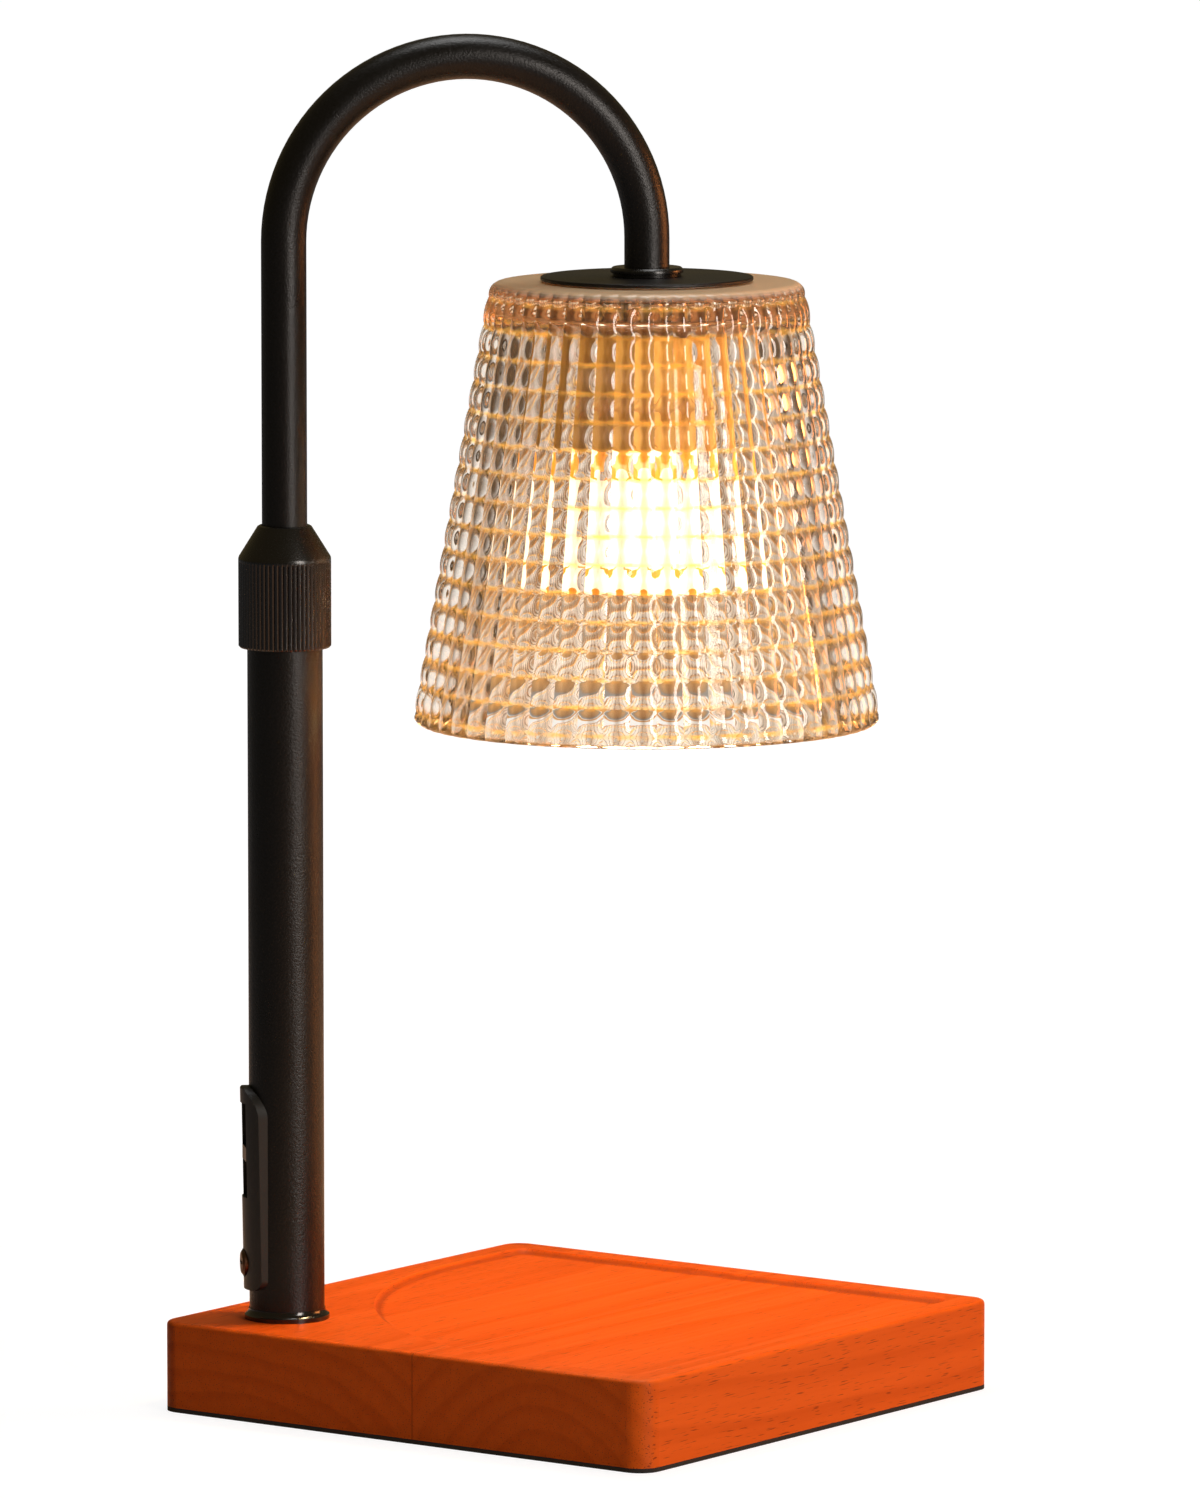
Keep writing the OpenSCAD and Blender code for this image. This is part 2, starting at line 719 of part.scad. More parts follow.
// ---------------------------------------------------------------- shade fitting

module end_nipple() {
    color(steel) at_shade(nipple_z) ring(nipple_r, nipple_r - nipple_wall, nipple_top - nipple_z);
}

module end_ring() {
    lower = ring_h * 0.4;
    color(black) at_shade(ring_z) difference() {
        union() {
            cylinder(d = ring_d - 1.2, h = ring_h);
            translate([0, 0, lower]) cylinder(d = ring_d, h = ring_h - lower);
        }
        translate([0, 0, -1]) cylinder(r = thread_r, h = ring_h + 2);
    }
}

module shade_disc() {
    color(black) at_shade(disc_z) ring(disc_d / 2, thread_r + fit_hole, disc_h);
}

module disc_gasket() {
    color("#dcd8d0") at_shade(shade_top) ring(disc_gasket_d / 2, thread_r + fit_hole, gasket_h);
}

module glass_gasket() {
    color("#dcd8d0") at_shade(glass_gasket_z) ring(clamp_d / 2, thread_r + fit_hole, gasket_h);
}

module clamp_washer() {
    color(steel) at_shade(clamp_z) ring(clamp_d / 2, thread_r + fit_hole, clamp_h);
}

module hex_nut() {
    color(brass) at_shade(hex_z) difference() {
        cylinder(r = hex_af / 2 / cos(30), h = hex_h, $fn = 6);
        translate([0, 0, -1]) cylinder(r = thread_r, h = hex_h + 2);
    }
}

// ---------------------------------------------------------------- glass shade

// Heights of the rings of points up the outside: the rim, then notch and bead by turns, then the
// shoulder. Each is [height, radius added to the mean cone, depth of the valleys between ribs].
function shade_mean_r(h) = shade_bottom_r + (shade_top_r - shade_bottom_r) * h / shade_h;
bead_rows = floor((shade_h - shade_rim - shoulder_r) / bead_pitch);
outer_rings = concat(
    [[0, -1.4, rib_depth * 0.5], [shade_rim * 0.45, -0.1, rib_depth]],
    [for (k = [0 : 2 * bead_rows])
        [shade_rim + k * bead_pitch / 2, (k % 2 == 0 ? -1 : 1) * bead_depth / 2, rib_depth]],
    [[shade_h - shoulder_r * 0.85, -0.1, rib_depth * 0.4],
     [shade_h - shoulder_r * 0.3, -shoulder_r * 0.3, 0],
     [shade_h, -shoulder_r, 0]]
);

// A ring of points; the ribs' crests are the even ones
function ring_points(h, r, valley) =
    [for (j = [0 : 2 * rib_count - 1]) let (a = 180 * j / rib_count, q = r - (j % 2) * valley)
        [q * cos(a), q * sin(a), h]];

// The whole shade, with its smooth inside, as rings of points from the top hole, down the
// outside, under the rim and up the inside to the hole again
module shade_solid() {
    columns = 2 * rib_count;
    count = len(outer_rings);
    inner_top = shade_h - shade_top_h;
    profile = concat(
        [for (k = [0 : count - 1]) let (o = outer_rings[k]) [o[0], shade_mean_r(o[0]) + o[1], o[2]]],
        [[shade_h, shade_hole_r, 0], [inner_top, shade_hole_r, 0],
         [inner_top, shade_mean_r(inner_top) - shade_wall - 2.5, 0],
         [inner_top - 2.5, shade_mean_r(inner_top - 2.5) - shade_wall, 0],
         [1, shade_mean_r(1) - shade_wall, 0],
         [0, shade_mean_r(0) - shade_wall + 1, 0]]
    );
    rings = len(profile);
    points = [for (p = profile) each ring_points(p[0], p[1], p[2])];
    faces = [for (i = [0 : rings - 1], j = [0 : columns - 1])
        let (n = (i + 1) % rings, m = (j + 1) % columns,
             a = i * columns + j, b = i * columns + m, c = n * columns + m, d = n * columns + j)
        each (j % 2 == 0 ? [[a, c, b], [a, d, c]] : [[a, d, b], [b, d, c]])];
    polyhedron(points = points, faces = faces);
}

module glass_shade() {
    color("#efe2cc", 0.45) at_shade(shade_z) shade_solid();
}

// ---------------------------------------------------------------- lampholder

// A cup spun from sheet, open downwards, clamped by its flat top over the bracket
module holder_cup() {
    r = cup_d / 2;
    bead = arc(r, cup_bead_r, cup_bead_r, 60, -90, 10);
    ribs = [for (k = [2, 1]) each arc(r, k * cup_rib_gap, cup_rib_r, 90, -90, 8)];
    outside = arc(r - cup_shoulder_r, cup_h - cup_shoulder_r, cup_shoulder_r, 90, 0, 6);
    inside = arc(r - cup_shoulder_r, cup_h - cup_shoulder_r, cup_shoulder_r - cup_wall, 0, 90, 6);
    hole_r = thread_r + fit_hole;
    color("#c8974a") at_shade(clamp_z - cup_h) rotate_extrude() polygon(concat(
        [[hole_r, cup_h]], outside, ribs, [[r, 2 * cup_bead_r]], bead,
        [[r - cup_wall, 0]], inside, [[hole_r, cup_h - cup_wall]]));
}

module holder_bracket() {
    reach = holder_d / 2 + bracket_stand;
    foot = reach - bracket_gap_r;
    color(steel) at_shade() difference() {
        union() {
            translate([-reach, -bracket_w / 2, bracket_top - bracket_t])
                cube([2 * reach, bracket_w, bracket_t]);
            for (s = [-1, 1]) {
                translate([s * (reach - bracket_t / 2), 0, bracket_z + bracket_h / 2])
                    cube([bracket_t, bracket_w, bracket_h], center = true);
                translate([s * (reach - foot / 2), 0, bracket_z + bracket_t / 2])
                    cube([foot, bracket_w, bracket_t], center = true);
            }
        }
        translate([0, 0, bracket_top - bracket_t - 1]) cylinder(r = thread_r + fit_hole, h = bracket_t + 2);
        for (s = [-1, 1]) translate([s * holder_screw_span / 2, 0, bracket_z - 1])
            cylinder(d = holder_screw_d + 2 * fit_seat, h = bracket_t + 2);
    }
}

module screw_holes(r, z, h) {
    for (s = [-1, 1]) translate([s * holder_screw_span / 2, 0, z]) cylinder(r = r, h = h);
}

module holder_cap() {
    channel_l = pin_span + 2 * lead_d;
    color(ceramic) at_shade(cap_z) difference() {
        cylinder(d = holder_d - 1, h = holder_cap_h);
        translate([-channel_w / 2, -channel_l / 2, -1]) cube([channel_w, channel_l, channel_h + 1]);
        for (s = [-1, 1]) translate([0, s * lead_y, 0])
            cylinder(d = lead_d + 2 * wire_gap, h = holder_cap_h + 1);
        screw_holes(holder_screw_d / 2 + fit_hole, -1, holder_cap_h + 2);
    }
}

// The ceramic body, with a keyhole slot for each of the bulb's pins and a round chamber behind
// them, where the pins' heads turn
module holder_body() {
    head_r = pin_head_d / 2 + fit_near;
    neck_r = pin_neck_d / 2 + fit_near;
    color(ceramic) at_shade(holder_z) difference() {
        cylinder(d = holder_d, h = holder_h);
        translate([0, 0, slot_plate_h]) ring(pin_r + head_r, pin_r - head_r, chamber_h);
        for (lock = [90, 270]) {
            rotate([0, 0, lock - bulb_twist]) translate([pin_r, 0, -1])
                cylinder(r = head_r, h = slot_plate_h + 2);
            translate([0, 0, -1]) ring_sector(pin_r - neck_r, pin_r + neck_r, slot_plate_h + 2,
                                              lock - bulb_twist / 2, bulb_twist);
            rotate([0, 0, lock]) translate([pin_r, 0, -1]) {
                cylinder(r = neck_r + fit_seat, h = slot_plate_h + 2);
                translate([0, 0, slot_plate_h + chamber_h]) cylinder(r = contact_r + fit_seat, h = holder_h);
            }
        }
        screw_holes(holder_screw_d / 2 + fit_hole, -1, holder_h + 2);
        screw_holes(holder_screw_d + fit_seat, -1, screw_sink_h + 1);
    }
}

module holder_screws() {
    head_z = holder_z + screw_sunk;
    head_h = screw_sink_h - screw_sunk;
    color(steel) at_shade() {
        screw_holes(holder_screw_d, head_z, head_h);
        screw_holes(holder_screw_d / 2, head_z + eps, bracket_z + bracket_t - head_z);
    }
}

module holder_contacts() {
    leaf_z = holder_z + slot_plate_h + chamber_h - leaf_h;
    color(brass) at_shade() for (lock = [90, 270]) {
        translate([0, 0, leaf_z])
            ring_sector(pin_r - leaf_w / 2, pin_r + leaf_w / 2, leaf_h, lock, leaf_spread);
        rotate([0, 0, lock]) translate([pin_r, 0, leaf_z])
            cylinder(r = contact_r, h = lead_z - lead_d / 2 - fit_seat - leaf_z);
    }
}

module holder_leads() {
    color("#f2efe6") at_shade() for (s = [-1, 1]) {
        translate([0, s * lead_y, lead_z - lead_d / 2]) cylinder(d = lead_d, h = nipple_top - lead_z);
        translate([0, s * lead_y, lead_z]) rotate([s * -90, 0, 0])
            cylinder(d = lead_d, h = pin_r - lead_y + lead_d / 2);
    }
}

// ---------------------------------------------------------------- bulb

// Radius of the reflector's outside, at a height above the top of its rim
function reflector_r(h) =
    bulb_base_d / 2 + (bulb_r - rim_step - bulb_base_d / 2) * pow(1 - h / bulb_flare_h, flare_power);

module bulb_reflector() {
    steps = 9;
    flare = [for (i = [0 : steps]) let (h = bulb_flare_h * i / steps) [reflector_r(h), bulb_rim_h + h]];
    bowl = [for (i = [0 : steps]) let (h = bowl_h * (1 - i / steps))
        [bowl_neck_r + (bowl_r - bowl_neck_r) * pow(1 - h / bowl_h, flare_power), bowl_z + h]];
    color("#e8d9bd", 0.8) at_shade(bulb_z) difference() {
        rotate_extrude() polygon(concat(
            [[0, bulb_len], [0, bowl_z + bowl_h]], bowl,
            [[bowl_r, lens_h], [lens_seat_r, lens_h], [lens_seat_r, 0],
             [bulb_r, 0], [bulb_r, bulb_rim_h - rim_step]],
            flare,
            [[bulb_base_d / 2, bulb_len]]));
        for (s = [-1, 1]) translate([0, s * pin_r, bulb_len - pin_root])
            cylinder(d = pin_neck_d + 2 * fit_seat, h = pin_root + 1);
    }
}

module bulb_lens() {
    color("#f5efe2", 0.6) at_shade(bulb_z) cylinder(r = lens_seat_r - fit_seat, h = lens_h);
}

module bulb_capsule() {
    tip_z = bowl_z + bowl_h - capsule_h;
    color("#fff6dd") at_shade(bulb_z) {
        translate([0, 0, tip_z]) cylinder(r = capsule_r, h = capsule_h);
        translate([0, 0, tip_z]) sphere(r = capsule_r);
    }
}

module bulb_pins() {
    color(steel) at_shade(holder_z) for (s = [-1, 1]) translate([0, s * pin_r, 0]) {
        translate([0, 0, -pin_root]) cylinder(d = pin_neck_d, h = pin_root + pin_neck_h + eps);
        translate([0, 0, pin_neck_h]) cylinder(d = pin_head_d, h = pin_head_h);
    }
}

base_pad();
base_board();
base_washer();
base_bolt();
post_plug();
foot_ring();
post_tube();
cord_cover();
cover_screw();
neck();
collet();
clamp_nut();
guide_bush();
arm_clip();
arm_tube();
end_nipple();
end_ring();
shade_disc();
disc_gasket();
glass_shade();
glass_gasket();
clamp_washer();
holder_cup();
holder_bracket();
hex_nut();
holder_cap();
holder_body();
holder_screws();
holder_contacts();
holder_leads();
bulb_reflector();
bulb_lens();
bulb_capsule();
bulb_pins();
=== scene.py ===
import logging
import math
from dataclasses import dataclass
from enum import Enum
from typing import Any, ClassVar, NamedTuple, Optional, Sequence, Union

import bpy
from bpy.types import ID, Material, Node, NodeSocket, NodeTree, Object, World
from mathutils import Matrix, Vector


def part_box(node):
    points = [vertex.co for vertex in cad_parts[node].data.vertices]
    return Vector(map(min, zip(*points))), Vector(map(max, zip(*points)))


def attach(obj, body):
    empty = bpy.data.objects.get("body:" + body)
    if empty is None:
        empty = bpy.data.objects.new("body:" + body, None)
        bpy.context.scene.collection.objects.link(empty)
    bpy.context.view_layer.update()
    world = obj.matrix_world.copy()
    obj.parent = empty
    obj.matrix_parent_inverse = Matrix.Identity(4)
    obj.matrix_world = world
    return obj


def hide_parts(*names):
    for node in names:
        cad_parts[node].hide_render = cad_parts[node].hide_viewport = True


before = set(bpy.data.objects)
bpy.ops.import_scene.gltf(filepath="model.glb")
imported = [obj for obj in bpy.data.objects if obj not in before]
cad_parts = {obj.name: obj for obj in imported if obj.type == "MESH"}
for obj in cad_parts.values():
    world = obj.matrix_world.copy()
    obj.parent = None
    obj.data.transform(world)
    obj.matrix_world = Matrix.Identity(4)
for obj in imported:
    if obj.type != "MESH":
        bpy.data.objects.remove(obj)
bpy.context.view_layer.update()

MM = 0.001
LOG = logging.getLogger("lamp")

Colour = tuple[float, float, float, float]
Point = tuple[float, float, float]
Span = tuple[float, float]
Pattern = tuple[Point, float, float]
Stops = Sequence[tuple[float, str]]
Links = Union[dict, Sequence]

# Node kinds that are used most. Map Range reads a value, From Min, From Max, To Min and To Max
VECTOR_MATH = "ShaderNodeVectorMath"
MAP_RANGE = "ShaderNodeMapRange"
MIX = "ShaderNodeMix"
NOISE = "ShaderNodeTexNoise"
MAPPING = "ShaderNodeMapping"
AXES = "ShaderNodeSeparateXYZ"
# Sockets of a Mix node that is set to colours, and the setting for a soft Map Range
MIX_FACTOR, MIX_A, MIX_B, MIX_OUT = 0, 6, 7, 2
SMOOTH = {"interpolation_type": "SMOOTHSTEP"}

# The glass shade in millimetres: its box, its axis, and the rim, rows and ribs that both its shape
# and its finish follow
GLASS_LOW, GLASS_HIGH = (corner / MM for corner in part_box("glass_shade"))
GLASS_X = (GLASS_LOW.x + GLASS_HIGH.x) / 2
GLASS_RIM = 2.9
GLASS_PITCH = 7.37
GLASS_RIBS = 54


def srgb(code: str) -> Colour:
    """Turn an sRGB hex value into the linear colour that a socket holds.

    Args:
        code: The colour as "#rrggbb".

    Returns:
        The linear red, green, blue and an alpha of 1.
    """
    parts = [int(code[i:i + 2], 16) / 255 for i in (1, 3, 5)]
    linear = [c / 12.92 if c <= 0.04045 else ((c + 0.055) / 1.055) ** 2.4 for c in parts]
    return (linear[0], linear[1], linear[2], 1.0)


def connect(node: Node, links: Links) -> None:
    """Give a node's inputs what they read.

    Args:
        node: The node.
        links: What each input gets, by name or number or in order from the first: a socket, a node
            whose first output is meant, or a plain value.
    """
    for key, value in links.items() if isinstance(links, dict) else enumerate(links):
        if isinstance(value, Node):
            value = value.outputs[0]
        if isinstance(value, NodeSocket):
            node.id_data.links.new(value, node.inputs[key])
        else:
            node.inputs[key].default_value = value


def add(tree: NodeTree, kind: str, links: Links = (), **settings: Any) -> Node:
    """Add a node to a shader tree or a geometry tree.

    Args:
        tree: The tree that gets the node.
        kind: The node's type, or the operation of a Math node.
        links: What its inputs get, as connect takes it.
        **settings: The node's own properties, set before its inputs.

    Returns:
        The new node.
    """
    node = tree.nodes.new(kind if "Node" in kind else "ShaderNodeMath")
    if "Node" not in kind:
        node.operation = kind
    for name, value in settings.items():
        setattr(node, name, value)
    connect(node, links)
    return node


def layered(tree: NodeTree, base: Any, *covers: tuple[Any, Any]) -> Any:
    """Lay colours over each other. Each is a hex value, a plain colour or a socket.

    Args:
        tree: The tree that gets the nodes.
        base: The lowest colour.
        *covers: For each layer above it, what says where it covers, and its colour.

    Returns:
        The socket that holds what is seen.
    """
    for share, cover in covers:
        below, above = (srgb(colour) if isinstance(colour, str) else colour for colour in (base, cover))
        base = add(tree, MIX, {MIX_FACTOR: share, MIX_A: below, MIX_B: above},
                   data_type="RGBA").outputs[MIX_OUT]
    return base


def blank_tree(owner: Union[Material, World]) -> NodeTree:
    """Give a material or a world an empty tree of nodes.

    Args:
        owner: The material or world.

    Returns:
        The tree.
    """
    owner.use_nodes = True
    owner.node_tree.nodes.clear()
    return owner.node_tree


def link_object(name: str, data: ID) -> Object:
    """Put a mesh, lamp or camera in the scene.

    Args:
        name: The object's name.
        data: What the object shows.

    Returns:
        The object, at the origin.
    """
    piece = bpy.data.objects.new(name, data)
    bpy.context.scene.collection.objects.link(piece)
    return piece


# ------------------------------ finishes


@dataclass(frozen=True)
class Work:
    """A material in the making: its tree, its shader and its output."""

    tree: NodeTree
    shader: Node
    output: Node

    def place(self, turn: float = 0.0, scale: Point = (1.0, 1.0, 1.0)) -> Node:
        """Read the piece's own coordinates, turned about Z in radians and scaled on each axis."""
        where = add(self.tree, "ShaderNodeTexCoord").outputs["Object"]
        return add(self.tree, MAPPING, {"Vector": where, "Rotation": (0, 0, turn), "Scale": scale})

    def mottle(self, size_mm: float, detail: float = 2.0, rough: float = 0.5,
               scale: Point = (1.0, 1.0, 1.0)) -> Node:
        """Mottle the piece from 0 to 1 in cells of a real size, drawn out where a scale is small."""
        return add(self.tree, NOISE, {"Vector": self.place(scale=scale), "Scale": 1 / (size_mm * MM),
                                      "Detail": detail, "Roughness": rough})

    def colour(self, base: str, *covers: tuple[Any, str]) -> None:
        """Colour the shader in layers, given as layered takes them."""
        connect(self.shader, {"Base Color": layered(self.tree, base, *covers)})

    def shine(self, pattern: Node, low: float, high: float) -> None:
        """Drive the roughness from a pattern, from low where that is 0 to high where it is 1."""
        rough = add(self.tree, MAP_RANGE, [pattern, 0.0, 1.0, low, high])
        connect(self.shader, {"Roughness": rough})

    def relief(self, height: Node, depth_mm: float, strength: float) -> None:
        """Drive the normal from a height of 0 to 1, with the relief's depth and its strength."""
        bump = add(self.tree, "ShaderNodeBump", {"Strength": strength, "Distance": depth_mm * MM,
                                                 "Height": height})
        connect(self.shader, {"Normal": bump})


@dataclass(frozen=True)
class Finish:
    """A material, with what every finish on the lamp shares."""

    name: str
    made: ClassVar[dict[str, Material]] = {}

    def material(self) -> Material:
        """Give the finish's material, made on the first call.

        Returns:
            The material.
        """
        if self.name not in Finish.made:
            material = bpy.data.materials.new(self.name)
            tree = blank_tree(material)
            shader = add(tree, "ShaderNodeBsdfPrincipled")
            output = add(tree, "ShaderNodeOutputMaterial", {"Surface": shader})
            self.paint(Work(tree, shader, output))
            Finish.made[self.name] = material
        return Finish.made[self.name]

    def paint(self, work: Work) -> None:
        """Set the shader and add the nodes that drive it."""
        raise NotImplementedError


# Powder coat on steel or zinc: sprayed as dry polyester powder and baked, which leaves a dull
# black skin with a fine pebbled grain. The real grit is about 0.1 mm. It is drawn at 0.5 mm and
# more, so that the grain shows in a picture of the whole lamp.
@dataclass(frozen=True)
class PowderCoat(Finish):
    """Baked black powder coat with its pebbled grain."""

    colour: str = "#0a0909"
    worn: str = "#121010"
    worn_from: Span = (0.35, 0.7)
    grit_mm: float = 0.6
    cloud_mm: float = 18.0
    relief_mm: float = 0.14
    bump: float = 0.8
    rough: float = 0.31
    rough_span: Span = (-0.08, 0.3)
    specular: float = 0.32

    def paint(self, work: Work) -> None:
        """Paint a dull black with grit in its height, its gloss and its colour.

        Args:
            work: The material.
        """
        grit = work.mottle(self.grit_mm, 3.0, 0.6)
        work.colour(self.colour, (add(work.tree, MAP_RANGE, [grit, *self.worn_from]), self.worn))
        connect(work.shader, {"Specular IOR Level": self.specular})
        cloudy = add(work.tree, "MULTIPLY", [grit, work.mottle(self.cloud_mm)])
        work.shine(cloudy, *(self.rough + change for change in self.rough_span))
        work.relief(grit, self.relief_mm, self.bump)


# Pine glue board under an orange-brown spirit stain and a satin lacquer: planed and sanded, with
# two staves glued edge to edge. Growth rings are 6.5 mm apart, and the fine dark pores, which run
# with the grain, are drawn 0.4 mm wide.
@dataclass(frozen=True)
class StainedWood(Finish):
    """Stained and lacquered board, with its grain along the board's own X."""

    early: str = "#e25f16"
    late: str = "#bd470c"
    late_share: tuple[float, ...] = (0.35, 1.5, 0.0, 0.6)
    pore: str = "#6a2406"
    pore_from: Span = (0.62, 0.72)
    pore_share: float = 0.75
    # Painted shade in the tray's cove: its colour and how much of it shows
    cove_shade: str = "#7c2a06"
    cove_shade_share: float = 0.6
    # Half the tray's width, the heights of its floor and edge, and how far from these two the
    # painted shade in the cove is whole
    tray_mm: Point = (75.5, 22.7, 24.2)
    cove_shade_mm: Span = (0.2, 0.9)
    ring_mm: float = 6.5
    late_rise: Span = (0.35, 0.88)
    late_fall: Span = (0.9, 1.0)
    # The log's middle, across and up, each for the stave at the back left and the other one
    piths: tuple[Span, Span] = ((0.058, -0.046), (-0.075, -0.018))
    joint: str = "#5c2008"
    joint_mm: float = -4.6
    glue_mm: Span = (0.12, 0.4)
    glue_share: float = 0.35
    # Cells in a metre along, across and up, detail and roughness of each pattern of the grain
    sway: Pattern = ((4, 22, 22), 2.0, 0.5)
    streak: Pattern = ((9, 420, 420), 4.0, 0.6)
    patch: Pattern = ((7, 30, 30), 2.0, 0.5)
    dash: Pattern = ((150, 2600, 2600), 1.0, 0.5)
    sway_reach: float = 0.016
    gloss: Span = (0.38, 0.52)
    specular: float = 0.12
    relief_mm: float = 0.06
    bump: float = 0.5
    turn: float = -math.pi / 4

    def paint(self, work: Work) -> None:
        """Paint growth rings, streaks, pores, the glue joint and painted shade in the tray's cove under a
        satin lacquer.

        Args:
            work: The material.
        """
        tree = work.tree
        board = work.place(self.turn)
        sway, streak, patch, dash = (
            add(tree, NOISE, {"Vector": add(tree, MAPPING, {"Vector": board, "Scale": cells}),
                              "Scale": 1.0, "Detail": detail, "Roughness": rough})
            for cells, detail, rough in (self.sway, self.streak, self.patch, self.dash))
        along, across, up = add(tree, AXES, [board]).outputs
        # Each stave was sawn from its own place in the log: its rings have their own middle
        joint = self.joint_mm * MM
        stave = add(tree, "LESS_THAN", [across, joint])
        away, above = (
            add(tree, "SUBTRACT", [axis, add(tree, MAP_RANGE, [stave, 0.0, 1.0, *pith])])
            for axis, pith in zip((across, up), self.piths))
        spot = add(tree, "ShaderNodeCombineXYZ", [away, above])
        reach = add(tree, VECTOR_MATH, [spot], operation="LENGTH").outputs["Value"]
        bent = add(tree, "MULTIPLY_ADD", [sway, self.sway_reach, reach])
        turns = add(tree, "MULTIPLY", [bent, 1 / (self.ring_mm * MM)])
        year = add(tree, "FRACT", [turns])
        rise = add(tree, MAP_RANGE, [year, *self.late_rise], **SMOOTH)
        fall = add(tree, MAP_RANGE, [year, *self.late_fall, 1.0, 0.0])
        ring = add(tree, "MULTIPLY", [rise, fall])
        grain = add(tree, "MULTIPLY_ADD", [ring, 0.5, streak])
        tone = add(tree, "MULTIPLY_ADD", [patch, 0.5, grain])
        late = add(tree, MAP_RANGE, [tone, *self.late_share])
        pores = add(tree, MAP_RANGE, [dash, *self.pore_from])
        dark = add(tree, "MULTIPLY", [pores, self.pore_share])
        off = add(tree, "ABSOLUTE", [add(tree, "SUBTRACT", [across, joint])])
        glue = add(tree, MAP_RANGE, [off, *(edge * MM for edge in self.glue_mm), self.glue_share, 0.0])
        # Painted shade: the cove round the tray is darker, for the shade that falls in it
        inside, floor_z, top_z = (size * MM for size in self.tray_mm)
        off_floor, off_top = (size * MM for size in self.cove_shade_mm)
        square = add(tree, "MAXIMUM", [add(tree, "ABSOLUTE", [axis]) for axis in (along, across)])
        painted_pool = add(tree, "LESS_THAN", [square, inside])
        for share in (add(tree, MAP_RANGE, [up, top_z, top_z - off_top]),
                      add(tree, MAP_RANGE, [up, floor_z, floor_z + off_floor]), self.cove_shade_share):
            painted_pool = add(tree, "MULTIPLY", [painted_pool, share])
        work.colour(self.early, (late, self.late), (dark, self.pore), (glue, self.joint),
                    (painted_pool, self.cove_shade))
        connect(work.shader, {"Specular IOR Level": self.specular})
        work.shine(grain, *self.gloss)
        sunk = add(tree, "MULTIPLY_ADD", [pores, -1.0, grain])
        work.relief(sunk, self.relief_mm, self.bump)


# Pressed soda-lime glass with a faint peach tint: pressed in a mould, so its skin is fire
# polished on both sides, with a slow waviness of a few millimetres.
@dataclass(frozen=True)
class PressedGlass(Finish):
    """Clear tinted glass that lets lamps' light through to what is behind it."""

    tint: str = "#fefaf4"
    shade: str = "#f3dcc4"
    depth_tint: str = "#f6c860"
    density: float = 9.0
    clarity: float = 0.98
    gloss: Span = (0.015, 0.3)
    wave_mm: float = 6.0
    wave_relief_mm: float = 0.1
    wave_bump: float = 0.35
    # The plate at the top is ground, and its peach is partly painted light, for the bulb's warm glow
    # scattered in it: how far under the top that starts and ends
    ground: str = "#ffdcb0"
    ground_mm: Span = (2.3, 0.3)
    ground_clarity: float = 0.35
    # The painted glow in the notches, which stands in for the bulb's light caught there: how far from a
    # notch it starts to fade and is gone, and its clouds
    painted_glow_tint: str = "#ecbc68"
    painted_glint: str = "#ffc460"
    painted_glint_power: float = 0.3
    notch_mm: Span = (0.2, 1.0)
    cloud_mm: float = 5.0
    cloud_from: Span = (0.38, 0.62)
    # The painted shade along the valleys between the ribs, in shares of a rib: how far from their
    # middle it starts to fade and is gone, and how much narrower it is at a bead's middle than at a notch
    valley: str = "#c4b2a0"
    valley_reach: Span = (0.1, 0.26)
    valley_shade_share: float = 0.85
    valley_taper: float = 0.12

    def paint(self, work: Work) -> None:
        """Set clear glass, and mix in Transparent for the rays that look for lamps.

        Args:
            work: The material.
        """
        tree = work.tree
        x, y, z = add(tree, AXES, [work.place()]).outputs
        edges = ((GLASS_HIGH.z - depth) * MM for depth in self.ground_mm)
        top = add(tree, MAP_RANGE, [z, *edges], **SMOOTH)
        # Painted glow: the notches between the rows of beads are tinted gold and glow, here more, there
        # less, for the bulb's light caught in them
        half_row = GLASS_PITCH * MM / 2
        rise = add(tree, "SUBTRACT", [z, (GLASS_LOW.z + GLASS_RIM) * MM])
        apart = add(tree, "PINGPONG", [rise, half_row])
        notch = add(tree, MAP_RANGE, [apart, *(edge * MM for edge in self.notch_mm), 1.0, 0.0], **SMOOTH)
        cloud = add(tree, MAP_RANGE, [work.mottle(self.cloud_mm), *self.cloud_from])
        notch = add(tree, "MULTIPLY", [notch, cloud])
        glow = add(tree, "MULTIPLY", [notch, self.painted_glint_power])
        # Painted shade: the valleys between the ribs are tinted tan, for the light that they bend away
        away = add(tree, "SUBTRACT", [x, GLASS_X * MM])
        turn = add(tree, "ARCTAN2", [y, away])
        turn = add(tree, "MULTIPLY", [turn, GLASS_RIBS / math.tau])
        beside = add(tree, "PINGPONG", [turn, 0.5])
        # They open at the notches, so the clear window of each bead has round corners
        beside = add(tree, "MULTIPLY_ADD", [apart, self.valley_taper / half_row, beside])
        painted_valley_shade = add(tree, MAP_RANGE, [beside, *self.valley_reach, self.valley_shade_share, 0.0], **SMOOTH)
        work.colour(self.tint, (painted_valley_shade, self.valley), (notch, self.painted_glow_tint), (top, self.ground))
        clear = add(tree, MAP_RANGE, [top, 0.0, 1.0, self.clarity, self.ground_clarity])
        connect(work.shader, {"Transmission Weight": clear, "IOR": 1.5, "Emission Strength": glow,
                              "Emission Color": srgb(self.painted_glint)})
        work.shine(top, *self.gloss)
        work.relief(work.mottle(self.wave_mm, 1.0), self.wave_relief_mm, self.wave_bump)
        shadow = add(tree, "ShaderNodeLightPath").outputs["Is Shadow Ray"]
        through = add(tree, "ShaderNodeBsdfTransparent", [srgb(self.shade)])
        mix = add(tree, "ShaderNodeMixShader", [shadow, work.shader, through])
        deep = add(tree, "ShaderNodeVolumeAbsorption", {"Color": srgb(self.depth_tint),
                                                        "Density": self.density})
        connect(work.output, {"Surface": mix, "Volume": deep})


